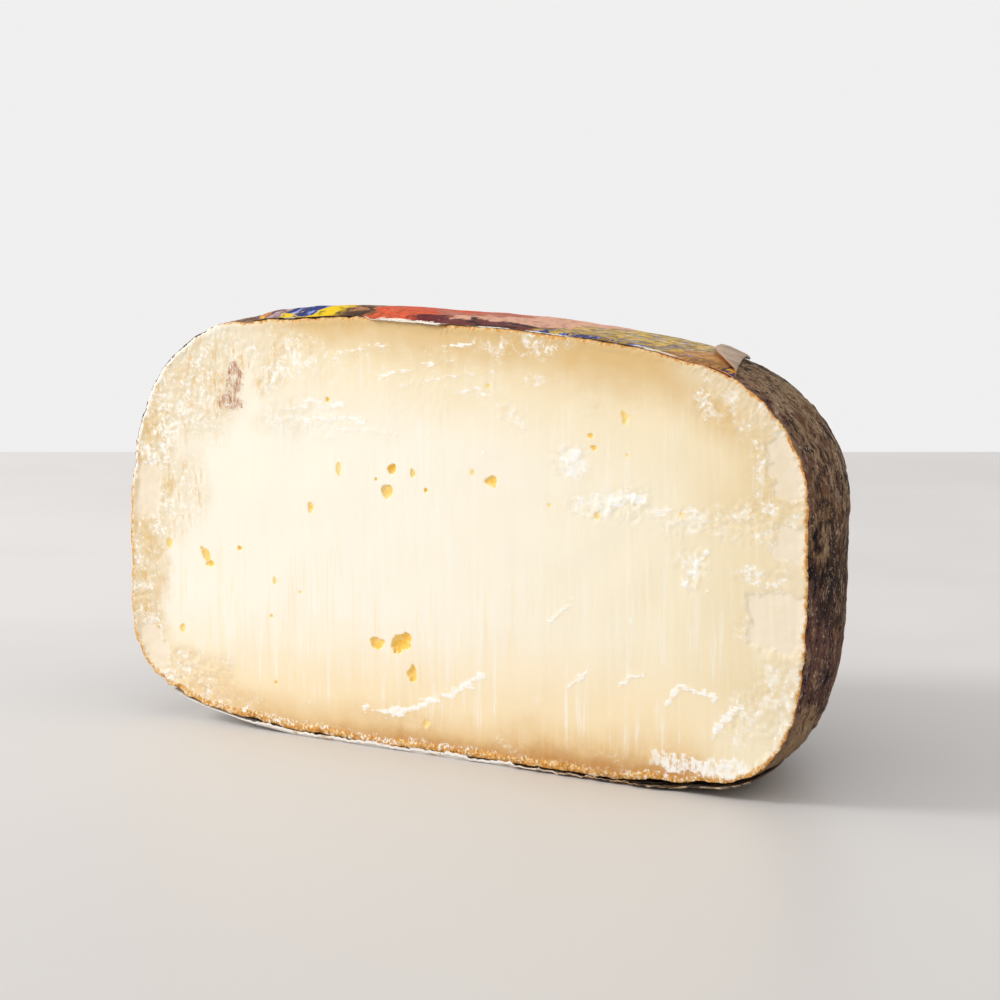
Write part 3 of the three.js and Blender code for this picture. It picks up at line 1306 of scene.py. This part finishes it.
    def rim(self, sheet: NodeSheet, maps: PasteMaps, colour: Paint) -> Paint:
        """The crust's cut edge: a gold band, white and dark bits along the base, a dark line outside.

        Args:
            sheet: The material's node sheet.
            maps: The paste's maps.
            colour: The colour so far.

        Returns:
            The colour with the crust on it.
        """
        x, z, depth, specks = maps.x, maps.z, maps.depth, maps.specks
        low, left = 1 - z.step(5, 13), 1 - x.step(-88, -76)
        shoulder = (1 - x.step(-72, -58)) * z.step(52, 66)
        line = depth + (specks - 0.5) * 1.8 + (maps.fine - 0.5) * 3.0
        line = line - low * (1.1 - x.step(54, 64) * 0.8) - left * 0.3
        band = 1 - line.step(0.15, 0.9)
        mottle = maps.flecks * 0.3 + specks * 0.3 + maps.grit * 0.4
        gold = sheet.mixed(paint(self.gold), paint(self.straw), mottle.step(0.47, 0.57))
        gold = sheet.mixed(gold, paint(self.crumb), shoulder * mottle.step(0.4, 0.5))
        colour = sheet.mixed(colour, gold, band * 0.95)
        bits = (mottle + (maps.fine - 0.5) * 0.25).step(0.515, 0.57) * low * (1 - (line - 0.6).step(0.3, 1.3))
        bits = bits * x.step(-80, -60) * (1 - x.step(18, 28) * (1 - x.step(50, 57)) * 0.6)
        colour = sheet.mixed(colour, paint(self.crumb), bits * 0.9)
        dots = 1 - (maps.flecks * 0.4 + maps.grit * 0.35 + specks * 0.25).step(0.40, 0.455)
        dots = dots * band * (0.6 + low * 0.4)
        colour = sheet.mixed(colour, paint(self.brown), dots * 0.7)
        edge = depth + (specks - 0.5) * 1.6 + (maps.fine - 0.5) * 0.9
        outer = (1 - (edge + bits).step(-0.1, 0.5)) * (1 - shoulder)
        colour = sheet.mixed(colour, paint(self.gold), outer * 0.8)
        glow = (1 - (edge + (maps.flecks - 0.5) * 1.2).step(0.1, 0.5)) * x.step(50, 70) * z.step(5, 12)
        colour = sheet.mixed(colour, paint(self.amber), glow * 0.75)
        dark = 1 - (edge - shoulder * 0.25 + 0.12).step(-0.05, 0.15)
        return sheet.mixed(colour, paint(self.rind_line), dark)


@dataclass(frozen=True)
class RindFinish:
    """Dry, dark brown rind, mottled olive-beige and plum, with near-black pits."""

    dark: str = "#30201a"
    brown: str = "#64452f"
    taupe: str = "#9a7f5f"
    plum: str = "#6b4743"
    pit: str = "#120b08"
    amber: str = "#82502c"
    mould: str = "#c4b597"

    def material(self) -> bpy.types.Material:
        """Mixes the rind.

        Returns:
            The material.
        """
        made, sheet = new_material("rind")
        place = sheet.position()
        _, y, z = sheet.parts(place)
        broad = sheet.cloud(sheet.stretched(place, (1, 1, 0.7)), 30 * MM, 4, 0.6)
        blotch = sheet.cloud(sheet.stretched(place, (1, 1, 0.75)), 7 * MM, 7, 0.72, 0.7)
        turned = sheet.stretched(place, (1, 1, 0.7), (0.3, 0.2, 0.5))
        other = sheet.cloud(turned, 4.5 * MM, 6, 0.74, 0.5)
        fibre = sheet.cloud(sheet.stretched(place, (1, 1, 0.6)), 1.6 * MM, 5, 0.78)
        grain = sheet.cloud(place, 0.9 * MM, 3, 0.7)
        # Painted light: lit lightens the rind's colour below 12 to 26 mm and above 48 and 74 mm, darkens it
        # between them, and fades out towards +Y. It raises tone and olive and lowers pitted. Its patches term
        # is random tone.
        lit = (1 - z.step(0.012, 0.026)) * 1.7 + z.step(0.048, 0.058) * 0.6 + z.step(0.074, 0.09) * 0.5 - 0.5
        patches = sheet.cloud(sheet.stretched(place, (1, 1, 0.55), (0.1, 0.3, 0.2)), 11 * MM, 3, 0.6, 0.6)
        lit = lit * (1 - y.step(-0.035, 0.0)) * 0.085 + (patches - 0.5) * 0.27
        by_cut = 1 - (y + (blotch - 0.5) * 0.02).step(-0.0455, -0.037)
        tone = blotch * 0.55 + fibre * 0.45 + lit
        colour = sheet.mixed(paint(self.dark), paint(self.brown), tone.step(0.445, 0.565))
        plum = (broad * 0.6 + other * 0.4 + by_cut * 0.06).step(0.48, 0.55)
        colour = sheet.mixed(colour, paint(self.plum), plum * 0.6)
        olive = (other * 0.4 + fibre * 0.6 + lit).step(0.49, 0.58)
        colour = sheet.mixed(colour, paint(self.taupe), olive * (0.9 - by_cut * 0.3))
        pitted = 1 - (blotch * 0.45 + fibre * 0.55 + lit * 0.4).step(0.415, 0.475)
        colour = sheet.mixed(colour, paint(self.pit), pitted)
        warm = (blotch * 0.3 + grain * 0.5 + broad * 0.2).step(0.545, 0.60) * 0.7
        colour = sheet.mixed(colour, paint(self.amber), warm)
        colour = sheet.mixed(colour, paint(self.mould), (grain * 0.6 + other * 0.4).step(0.56, 0.62) * 0.75)
        height = blotch * 0.8 + fibre * 0.8 + grain * 0.35
        sheet.finish(
            Base_Color=colour,
            Roughness=0.8 + (grain - 0.5) * 0.3,
            Normal=sheet.bump(height, 1.1 * MM, 0.8),
            Specular_IOR_Level=0.12,
        )
        return made


# ---------------------------------------------------------------------------------------------
# The labels


def round_sheet(centre: Vector, radius: float, ring_spacing: float, steps: int) -> BMesh:
    """A flat round net.

    Args:
        centre: Its middle.
        radius: Its radius.
        ring_spacing: Distance between its rings.
        steps: How many spokes it has.

    Returns:
        The net, to be shaped and then freed by the caller.
    """
    sheet = bmesh.new()
    count = round(radius / ring_spacing)
    spoke = [sheet.verts.new(centre + Vector((radius * step / count, 0, 0))) for step in range(count + 1)]
    edges = [sheet.edges.new(pair) for pair in zip(spoke, spoke[1:])]
    bmesh.ops.spin(
        sheet,
        geom=spoke + edges,
        cent=centre,
        axis=(0, 0, 1),
        angle=2 * math.pi,
        steps=steps,
        use_merge=True,
    )
    bmesh.ops.remove_doubles(sheet, verts=sheet.verts, dist=0.01 * MM)
    return sheet


def cut_sheet(sheet: BMesh, place: Vector, outwards: Vector) -> None:
    """Cuts a net along a plane and drops the part beyond it."""
    everything = [*sheet.verts, *sheet.edges, *sheet.faces]
    bmesh.ops.bisect_plane(sheet, geom=everything, plane_co=place, plane_no=outwards, clear_outer=True)


def crease_sheet(sheet: BMesh, place: Vector, outwards: Vector) -> None:
    """Draws a line of edges through a net along a plane."""
    everything = [*sheet.verts, *sheet.edges, *sheet.faces]
    bmesh.ops.bisect_plane(sheet, geom=everything, plane_co=place, plane_no=outwards)


def refine_front(sheet: BMesh, front: float, depth: float) -> None:
    """Makes a net finer along its cut edge."""
    near = [edge for edge in sheet.edges if all(vert.co.y < front + depth for vert in edge.verts)]
    bmesh.ops.subdivide_edges(sheet, edges=near, cuts=1, use_grid_fill=True)


def paper_object(
    name: str, sheet: BMesh, thickness: float, materials: Iterable[bpy.types.Material]
) -> bpy.types.Object:
    """Turns a net into a sheet of paper.

    Args:
        name: The piece's name.
        sheet: The net, lying where the paper's lower face lies; it is freed.
        thickness: The paper's thickness.
        materials: Its face, its back and its edge.

    Returns:
        The object.
    """
    sheet.normal_update()
    if sum(face.normal.z for face in sheet.faces) < 0:
        bmesh.ops.reverse_faces(sheet, faces=sheet.faces)
    for face in sheet.faces:
        face.smooth = True
    mesh = bpy.data.meshes.new(name)
    sheet.to_mesh(mesh)
    sheet.free()
    paper = bpy.data.objects.new(name, mesh)
    for material in materials:
        mesh.materials.append(material)
    body = paper.modifiers.new("thickness", "SOLIDIFY")
    body.thickness = thickness
    body.offset = 1
    body.material_offset = 1
    body.material_offset_rim = 2
    return paper


@dataclass
class TopLabel:
    """The printed label over the top, its rim at +X folded back."""

    shape: WheelShape
    middle_x: float = 11.0 * MM
    radius: float = 65.5 * MM
    clearance: float = 0.35 * MM
    edge_clearance: float = 0.04 * MM
    thickness: float = 0.2 * MM
    crease_turn: float = 0.40
    fold_radius: float = 0.45 * MM
    fold_lift: float = 0.75 * MM
    flap_spread: float = 1.55
    flat_map: str = "print"

    def build(self) -> bpy.types.Object:
        """Models the label and dresses it.

        Returns:
            The finished object.
        """
        cut_y = self.shape.cut_y
        centre = Vector((self.middle_x, cut_y, 0))
        sheet = round_sheet(centre, self.radius, 1.0 * MM, 300)
        cut_sheet(sheet, centre, Vector((0, -1, 0)))
        self.start = Vector((self.middle_x + self.radius, cut_y, 0))
        self.outwards = Vector((math.cos(self.crease_turn), math.sin(self.crease_turn), 0))
        for step in range(9):
            crease_sheet(sheet, self.start + self.outwards * (step - 1) * 0.2 * MM, self.outwards)
        refine_front(sheet, cut_y, 2.5 * MM)
        flat = sheet.loops.layers.uv.new(self.flat_map)
        for face in sheet.faces:
            for loop in face.loops:
                loop[flat].uv = (loop.vert.co.x - self.middle_x, loop.vert.co.y - cut_y)
        for vert in sheet.verts:
            vert.co = self.laid(vert.co)
        bmesh.ops.recalc_face_normals(sheet, faces=sheet.faces)
        printed = PrintedPaperFinish(self.flat_map).material()
        materials = (printed, LabelBackFinish().material(), TornEdgeFinish().material())
        return paper_object("printed_label", sheet, self.thickness, materials)

    def laid(self, flat: Vector) -> Vector:
        """Where a point of the flat label lies on the wheel.

        Args:
            flat: The point on the label as it lies flat.

        Returns:
            Its place.
        """
        past = (flat - self.start).dot(self.outwards)
        lift, shift = 0.0, 0.0
        half_turn = math.pi * self.fold_radius
        if past > half_turn:
            back = (past - half_turn) * self.flap_spread
            shift = -back - past
            lift = 2 * self.fold_radius + self.fold_lift * smooth_between(0, 6 * MM, back)
            lift -= 0.5 * MM * smooth_between(5 * MM, 9 * MM, back)
        elif past > 0:
            angle = past / self.fold_radius
            shift = self.fold_radius * math.sin(angle) - past
            lift = self.fold_radius * (1 - math.cos(angle))
        place = flat + self.outwards * shift
        cut_y = self.shape.cut_y
        edge = smooth_between(cut_y + 2.2 * MM, cut_y, flat.y)
        fray = noise.noise(Vector((flat.x * 240, 3.0, 0.0)))
        fray += 0.5 * noise.noise(Vector((flat.x * 900, 9.0, 0.0)))
        overhang = smooth_between(-22, -18, flat.x / MM) * smooth_between(4, -2, flat.x / MM)
        place.y += edge * (fray * 0.3 - overhang * 0.9) * MM
        height = self.shape.sheet_height(place.x, place.y, True)
        spot = Vector((place.x, place.y, height))
        crinkle = noise.noise(Vector((flat.x * 260, flat.y * 260, 5.0))) * 0.16 * MM * (1 - edge)
        clearance = mix_numbers(self.clearance, self.edge_clearance, edge)
        sag = overhang * edge * 0.5 * MM
        place.z = height + clearance + rind_lumps(spot) + crinkle + lift - sag
        return place


@dataclass
class BottomLabel:
    """The plain label under the base, its cut edge standing out and curling up in front."""

    shape: WheelShape
    radius: float = 82 * MM
    fringe: float = 2.1 * MM
    thickness: float = 0.2 * MM
    ledge: float = 0.7 * MM
    slit: float = 0.6 * MM

    def build(self) -> bpy.types.Object:
        """Models the label and dresses it.

        Returns:
            The finished object.
        """
        cut_y = self.shape.cut_y
        centre = Vector((0, cut_y, 0))
        sheet = round_sheet(centre, self.radius, 1.2 * MM, 260)
        front = cut_y - self.fringe
        cut_sheet(sheet, Vector((0, front, 0)), Vector((0, -1, 0)))
        refine_front(sheet, front, 5 * MM)
        refine_front(sheet, front, 3 * MM)
        for vert in sheet.verts:
            vert.co = self.laid(vert.co)
        bmesh.ops.recalc_face_normals(sheet, faces=sheet.faces)
        plain = PlainPaperFinish().material()
        materials = (plain, plain, TornEdgeFinish().material())
        return paper_object("plain_label", sheet, self.thickness, materials)

    def laid(self, flat: Vector) -> Vector:
        """Where a point of the flat label lies: under the wheel, then turned up before the cut.

        Args:
            flat: The point on the label as it lies flat.

        Returns:
            Its place.
        """
        cut_y = self.shape.cut_y
        x = flat.x / MM
        past = max(0.0, cut_y - flat.y)
        share = past / self.fringe
        fray = noise.noise(Vector((x * 0.13, 1.0, 0.0))) + 0.6 * noise.noise(Vector((x * 0.62, 2.0, 0.0)))
        torn, gone = smooth_between(12, 26, x), smooth_between(59, 64, x)
        hugging = smooth_between(-50, -68, x)
        lean = 1 + 0.5 * noise.noise(Vector((x * 0.08, 5.0, 0.0)))
        lean += torn * (1.2 + 0.8 * noise.noise(Vector((x * 0.3, 7.0, 0.0))))
        place = flat.copy()
        out = self.ledge * lean * smooth_between(0.0, 0.45, share) * (1 - 0.8 * hugging)
        place.y = max(flat.y, cut_y) - out
        place.y += gone * 3.0 * MM * share
        up = (self.fringe - self.ledge - self.slit) * smooth_between(0.2, 1.0, share)
        up *= (1 - gone) * (1 - 0.85 * hugging) * (1 - 0.3 * torn)
        slit = self.slit * smooth_between(0.0, 0.3, share) * (1 - gone) * (0.8 + fray) * (1 - hugging)
        height = self.shape.sheet_height(place.x, max(place.y, cut_y), False) - self.shape.floor_gap
        lumps = rind_lumps(Vector((place.x, place.y, height))) * smooth_between(-16, -26, x)
        up *= 0.85 + 0.35 * fray * (1 + torn) - 0.25 * torn
        place.z = max(0.0, height - lumps - (0.25 - 0.55 * hugging) * MM) + slit + up
        return place


@dataclass(frozen=True)
class PrintedPaperFinish:
    """A worn label printed with loose fields of colour."""

    flat_map: str
    ground: str = "#8a6f76"
    mauve: str = "#b79aa0"
    fields: tuple[tuple[float, str], ...] = (
        (-53.0, "#e6c114"),
        (-35.0, "#a8764e"),
        (-27.0, "#e05c38"),
        (-10.0, "#b9705c"),
        (-5.0, "#dba48c"),
        (19.0, "#d6b045"),
        (54.0, "#c08a4c"),
    )
    off_centre: float = 5.0
    rim: float = 62.0
    navy: str = "#26346f"
    sky: str = "#8f9ad6"
    slate: str = "#7b7270"
    plum: str = "#571220"
    grey_green: str = "#8f7b4e"
    yellow: str = "#e0b61c"
    pale: str = "#dcc6a6"
    umber: str = "#75502a"
    ink: str = "#241816"
    sand: str = "#d3a66a"
    rust: str = "#9c4a2a"
    bare: str = "#efe4d4"
    ring_ochre: str = "#c9853f"
    ring_yellow: str = "#e0b91e"
    dirt: str = "#5a3a28"

    def material(self) -> bpy.types.Material:
        """Mixes the print.

        Returns:
            The material.
        """
        made, sheet = new_material("printed_paper")
        flat = sheet.flat_position(self.flat_map)
        warp = sheet.cloud(flat, 9 * MM, 3, 0.6)
        swirl = sheet.cloud(flat, 13 * MM, 2, 0.5, 1.2)
        blot = sheet.cloud(flat, 5 * MM, 4, 0.55, 0.8)
        dabs = sheet.cloud(sheet.stretched(flat, (0.45, 1, 1)), 3.4 * MM, 4, 0.6, 0.5)
        worn = sheet.cloud(flat, 4 * MM, 6, 0.75)
        mottle = sheet.cloud(flat, 2.0 * MM, 4, 0.7)
        across, back, _ = sheet.parts(flat)
        y_wave = (sheet.cloud(flat, 30 * MM, 3, 0.55) - 0.5) * 60 * back.step(0.004, 0.02)
        x, y = across * 1000 + self.off_centre + (warp - 0.5) * 13 + y_wave, back * 1000
        colour = sheet.mixed(paint(self.ground), paint(self.mauve), mottle.step(0.44, 0.6))
        for start, code in self.fields:
            colour = sheet.mixed(colour, paint(code), x.step(start - 0.8, start + 0.8))
        brushed = sheet.cloud(sheet.stretched(flat, (1, 0.35, 1)), 1.8 * MM, 4, 0.65, 0.3)
        red = x.step(-27, -26) * (1 - x.step(-12, -6))
        rusty = (mottle * 0.5 + brushed * 0.5).step(0.48, 0.58) * red
        colour = sheet.mixed(colour, paint(self.rust), rusty * 0.75)
        colour = sheet.mixed(colour, paint(self.sand), brushed.step(0.53, 0.62) * x.step(-10, -4) * 0.6)
        inked = (1 - brushed.step(0.38, 0.45)) * (0.45 - x.step(15, 25) * 0.2)
        colour = sheet.mixed(colour, paint(self.ink), inked)
        left_yellow = x.step(-53, -52) * (1 - x.step(-36, -33))
        right_field = x.step(19, 20) * (1 - (x + (dabs - 0.5) * 30).step(50, 58))
        near_front = 1 - (y + (blot - 0.5) * 16).step(4, 8)
        colour = sheet.mixed(colour, paint(self.grey_green), right_field * dabs.step(0.51, 0.54) * 0.8)
        yellow_dabs = 1 - (dabs - 0.465).maths("ABSOLUTE").step(0.03, 0.04)
        colour = sheet.mixed(colour, paint(self.yellow), right_field * yellow_dabs)
        colour = sheet.mixed(colour, paint(self.slate), right_field * (1 - dabs.step(0.41, 0.43)) * 0.8)
        faded = x.step(5, 30) * y.step(10, 28) * brushed.step(0.51, 0.57)
        colour = sheet.mixed(colour, paint(self.pale), faded * 0.6)
        soiled = x.step(22, 34) * near_front * brushed.step(0.42, 0.52)
        colour = sheet.mixed(colour, paint(self.umber), soiled * 0.75)
        blob_x, blob_y = (x + 48.0) * 0.16, (y - 9.0) * 0.13
        blob = blob_x * blob_x + blob_y * blob_y + (blot - 0.5) * 3
        arc = 1 - (blob - 3.2).maths("ABSOLUTE").step(0.35, 0.5)
        navy = right_field * blot.step(0.53, 0.545) * (0.45 + near_front * 0.55)
        navy = navy.at_least(left_yellow * (1 - blob.step(0.9, 1.1)).at_least(arc * x.step(-46, -42)))
        blue = sheet.mixed(paint(self.navy), paint(self.sky), brushed.step(0.52, 0.6))
        colour = sheet.mixed(colour, blue, navy)
        front = x.step(-15, -12) * (1 - x.step(18, 22)) * (1 - (y + (blot - 0.5) * 22).step(5, 7))
        colour = sheet.mixed(colour, paint(self.plum), front * 0.92)
        streaks = (1 - dabs.step(0.48, 0.50)).at_least(1 - (y + (blot - 0.5) * 12).step(2.5, 4.0))
        streaks = streaks * x.step(-37, -34) * (1 - x.step(-28, -26))
        colour = sheet.mixed(colour, paint(self.ink), streaks * 0.85)
        colour = sheet.mixed(colour, paint(self.ink), (1 - dabs.step(0.46, 0.48)) * front * 0.85)
        bared = x.step(-25, -22) * (1 - x.step(-6, -3))
        bared = bared.at_least(x.step(44, 46) * (1 - x.step(56, 59)) * 0.9)
        torn_edge = bared * (1 - (y + (worn - 0.5) * 3).step(0.9, 1.2))
        lines = 1 - (swirl * 14).maths("PINGPONG", 0.5).step(0.025, 0.05)
        colour = sheet.mixed(colour, paint(self.ink), lines * 0.75)
        reach = ((across * across + back * back) ** 0.5) * 1000
        ring = reach.step(self.rim, self.rim + 0.4)
        speckled = sheet.mixed(paint(self.ring_ochre), paint(self.navy), blot.step(0.53, 0.56))
        speckled = sheet.mixed(speckled, paint(self.ring_yellow), 1 - blot.step(0.45, 0.47))
        colour = sheet.mixed(colour, speckled, ring * 0.85)
        ring_line = ring * (1 - reach.step(self.rim + 0.6, self.rim + 0.9))
        colour = sheet.mixed(colour, paint(self.ink), ring_line * 0.8)
        colour = sheet.mixed(colour, paint(self.bare), (worn.step(0.635, 0.675) * 0.8).at_least(torn_edge))
        dirty = 1 - (worn * 0.5 + mottle * 0.5).step(0.38, 0.46)
        colour = sheet.mixed(colour, paint(self.dirt), dirty * 0.6)
        sheet.finish(
            Base_Color=colour,
            Roughness=0.72 + (mottle - 0.5) * 0.4,
            Normal=sheet.bump(worn, 0.25 * MM, 0.5),
            Specular_IOR_Level=0.12,
        )
        return made


@dataclass(frozen=True)
class PlainPaperFinish:
    """White label paper, a little stained by the rind and crusted brown towards +X, with painted shade in
    dark brown streaks further along +X.
    """

    paper: str = "#f4efe8"
    stained: str = "#c9a678"
    crusted: str = "#b08a5c"
    painted_shade: str = "#3a281c"

    def material(self) -> bpy.types.Material:
        """Mixes the paper.

        Returns:
            The material.
        """
        made, sheet = new_material("plain_paper")
        place = sheet.position()
        x, _, _ = sheet.parts(place)
        stain = sheet.cloud(place, 7 * MM, 5, 0.65)
        fibre = sheet.cloud(place, 0.8 * MM, 3)
        stained = (stain + x.step(0.012, 0.03) * 0.12).step(0.58, 0.68)
        colour = sheet.mixed(paint(self.paper), paint(self.stained), stained * 0.8)
        colour = sheet.mixed(colour, paint(self.crusted), (x + (stain - 0.5) * 0.04).step(0.022, 0.03) * 0.8)
        # Painted shade: from x = 28 to 40 mm on, the paper turns dark brown in streaks, standing in for the
        # shade under the wheel's +X end.
        layers = 1 - sheet.cloud(sheet.stretched(place, (0.25, 1, 1)), 1.2 * MM, 4, 0.7).step(0.46, 0.54)
        painted_shade = (x + (stain - 0.5) * 0.03).step(0.028, 0.04) * layers
        colour = sheet.mixed(colour, paint(self.painted_shade), painted_shade)
        sheet.finish(Base_Color=colour, Roughness=0.85, Normal=sheet.bump(fibre, 0.1 * MM, 0.5))
        return made


@dataclass(frozen=True)
class LabelBackFinish:
    """The grey-beige back of the printed label, grimy from the rind."""

    light: str = "#bba38d"
    dark: str = "#a48b74"
    grime: str = "#7c6452"

    def material(self) -> bpy.types.Material:
        """Mixes the back.

        Returns:
            The material.
        """
        made, sheet = new_material("label_backing")
        place = sheet.position()
        stain = sheet.cloud(place, 6 * MM, 5, 0.65)
        grime = sheet.cloud(place, 1.5 * MM, 4, 0.7)
        colour = sheet.mixed(paint(self.dark), paint(self.light), stain.step(0.4, 0.6))
        colour = sheet.mixed(colour, paint(self.grime), grime.step(0.52, 0.66) * 0.6)
        sheet.finish(Base_Color=colour, Roughness=0.85, Normal=sheet.bump(stain, 0.2 * MM, 0.6))
        return made


@dataclass(frozen=True)
class TornEdgeFinish:
    """The torn edge of either paper: white where it is fresh, soiled in patches on the printed label, and
    dark brown on the plain label towards +X as painted shade.
    """

    fresh: str = "#f4efe6"
    fibre: str = "#cfc4b4"
    soiled: str = "#4e3626"
    rusty: str = "#b0602a"

    def material(self) -> bpy.types.Material:
        """Mixes the edge.

        Returns:
            The material.
        """
        made, sheet = new_material("paper_edge")
        place = sheet.position()
        fibre = sheet.cloud(place, 1.0 * MM, 3)
        soil = sheet.cloud(place, 16 * MM, 4, 0.7)
        x, _, z = sheet.parts(place)
        upper = z.step(0.05, 0.06)
        # Painted shade: below 50 mm the plain label's edge turns dark brown past x = 44 to 50 mm. Above 60 mm
        # the printed label's edge has real patches of soil.
        soiled = ((1 - soil.step(0.47, 0.56)) * upper).at_least(x.step(0.044, 0.05) * (1 - upper))
        colour = sheet.mixed(paint(self.fibre), paint(self.fresh), fibre.step(0.4, 0.6))
        colour = sheet.mixed(colour, paint(self.soiled), soiled)
        colour = sheet.mixed(colour, paint(self.rusty), x.step(0.056, 0.060) * upper * 0.85)
        sheet.finish(Base_Color=colour, Roughness=0.9)
        return made


# ---------------------------------------------------------------------------------------------
# The studio


@dataclass
class Studio:
    """A pale table under soft light from the left, and the camera."""

    shape: WheelShape
    aim_x: float = 16.7 * MM
    aim_z: float = 62.6 * MM
    distance: float = 577 * MM
    azimuth: float = math.radians(32.37)
    elevation: float = math.radians(7.44)
    lens: float = 90.0
    sensor_width: float = 36.0
    nearest_seen: float = 10 * MM
    table_back: float = 668 * MM
    table_front: float = 2.6
    table_half_width: float = 2.4
    table_thickness: float = 0.03
    table_edge: float = 4 * MM
    table_colours: tuple[str, str] = ("#cfccc9", "#d5d2cf")
    table_front_shade: str = "#cbc7c3"
    table_roughness: float = 0.45
    room_colour: str = "#f5f4f4"
    room_strength: float = 0.96
    window_azimuth: float = math.radians(-62)
    window_elevation: float = math.radians(30)
    window_distance: float = 1.3
    window_size: float = 0.4
    window_power: float = 9.5
    window_aim_height: float = 50 * MM

    def build(self) -> None:
        """Sets up everything round the half wheel."""
        self.place_camera()
        self.lay_table()
        self.light()

    def bearing(self, azimuth: float, elevation: float) -> Vector:
        """The direction from the wheel towards a place seen at that azimuth and elevation."""
        flat = math.cos(elevation)
        return Vector((math.sin(azimuth) * flat, -math.cos(azimuth) * flat, math.sin(elevation)))

    def place_camera(self) -> None:
        """Looks at the cut from its right, a little from above."""
        lens = bpy.data.cameras.new("camera")
        lens.lens = self.lens
        lens.sensor_width = self.sensor_width
        lens.clip_start = self.nearest_seen
        camera = bpy.data.objects.new("camera", lens)
        towards = self.bearing(self.azimuth, self.elevation)
        camera.location = Vector((self.aim_x, self.shape.cut_y, self.aim_z)) + towards * self.distance
        camera.rotation_euler = towards.to_track_quat("Z", "Y").to_euler()
        bpy.context.scene.collection.objects.link(camera)
        bpy.context.scene.camera = camera

    def lay_table(self) -> None:
        """A slab whose top is the plane that the wheel stands on."""
        slab = bmesh.new()
        bmesh.ops.create_cube(slab, size=1)
        length = self.table_back + self.table_front
        bmesh.ops.scale(slab, vec=(2 * self.table_half_width, length, self.table_thickness), verts=slab.verts)
        shift = Vector((self.aim_x, self.shape.cut_y, 0))
        bmesh.ops.translate(
            slab, vec=(0, self.table_back - length / 2, -self.table_thickness / 2), verts=slab.verts
        )
        bmesh.ops.bevel(
            slab,
            geom=slab.edges[:],
            offset=self.table_edge,
            segments=4,
            profile=0.5,
            affect="EDGES",
            material=-1,
        )
        bmesh.ops.rotate(slab, cent=(0, 0, 0), matrix=Matrix.Rotation(self.azimuth, 3, "Z"), verts=slab.verts)
        bmesh.ops.translate(slab, vec=shift, verts=slab.verts)
        mesh = bpy.data.meshes.new("table")
        slab.to_mesh(mesh)
        slab.free()
        table = bpy.data.objects.new("table", mesh)
        made, sheet = new_material("table")
        soft = sheet.cloud(sheet.position(), 0.25, 3)
        _, y, _ = sheet.parts(sheet.position())
        top = sheet.mixed(*(paint(code) for code in self.table_colours), soft.step(0.4, 0.6))
        # Painted shade: the table top darkens towards the front, from Y = 0.15 m down to Y = -0.25 m.
        colour = sheet.mixed(paint(self.table_front_shade), top, y.step(-0.25, 0.15))
        sheet.finish(Base_Color=colour, Roughness=self.table_roughness)
        mesh.materials.append(made)
        bpy.context.scene.collection.objects.link(table)

    def light(self) -> None:
        """A window's worth of light from the left and a bright room all round."""
        world = bpy.data.worlds.new("room")
        world.use_nodes = True
        sheet = NodeSheet(world.node_tree)
        sockets = {"Color": paint(self.room_colour), "Strength": self.room_strength}
        room = sheet.node("ShaderNodeBackground", {}, sockets)
        sheet.node("ShaderNodeOutputWorld", {}, {"Surface": room.outputs[0]})
        bpy.context.scene.world = world
        self.hang_window()
        view = bpy.context.scene.view_settings
        view.view_transform = "Standard"
        view.look = "None"

    def hang_window(self) -> None:
        """Hangs a square light that faces the wheel."""
        lamp = bpy.data.lights.new("window", "AREA")
        lamp.size = self.window_size
        lamp.energy = self.window_power
        window = bpy.data.objects.new("window", lamp)
        towards = self.bearing(self.window_azimuth, self.window_elevation)
        aim = Vector((0, self.shape.cut_y, self.window_aim_height))
        window.location = aim + towards * self.window_distance
        window.rotation_euler = towards.to_track_quat("Z", "Y").to_euler()
        bpy.context.scene.collection.objects.link(window)


def seat(piece: bpy.types.Object, node: str) -> None:
    """Puts a finished piece in the scene in place of its CAD node.

    Args:
        piece: The piece.
        node: The CAD node that it stands for.
    """
    bpy.context.scene.collection.objects.link(piece)
    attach(piece, "root")
    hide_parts(node)
    LOG.info("%s stands for %s, %d faces", piece.name, node, len(piece.data.polygons))


def main() -> None:
    """Builds the half wheel and the studio."""
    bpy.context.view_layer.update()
    low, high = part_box("cheese")
    shape = WheelShape(
        half_length=(high.x - low.x) / 2,
        height=high.z - low.z + CROWN_PROUD,
        cut_y=low.y,
        floor_gap=low.z + CRUST_ROOM,
    )
    seat(Cheese(shape).build(), "cheese")
    seat(TopLabel(shape).build(), "top_label")
    seat(BottomLabel(shape).build(), "bottom_label")
    Studio(shape).build()


if __name__ == "__main__":
    logging.basicConfig(level=logging.INFO, format="%(name)s: %(message)s")
    main()
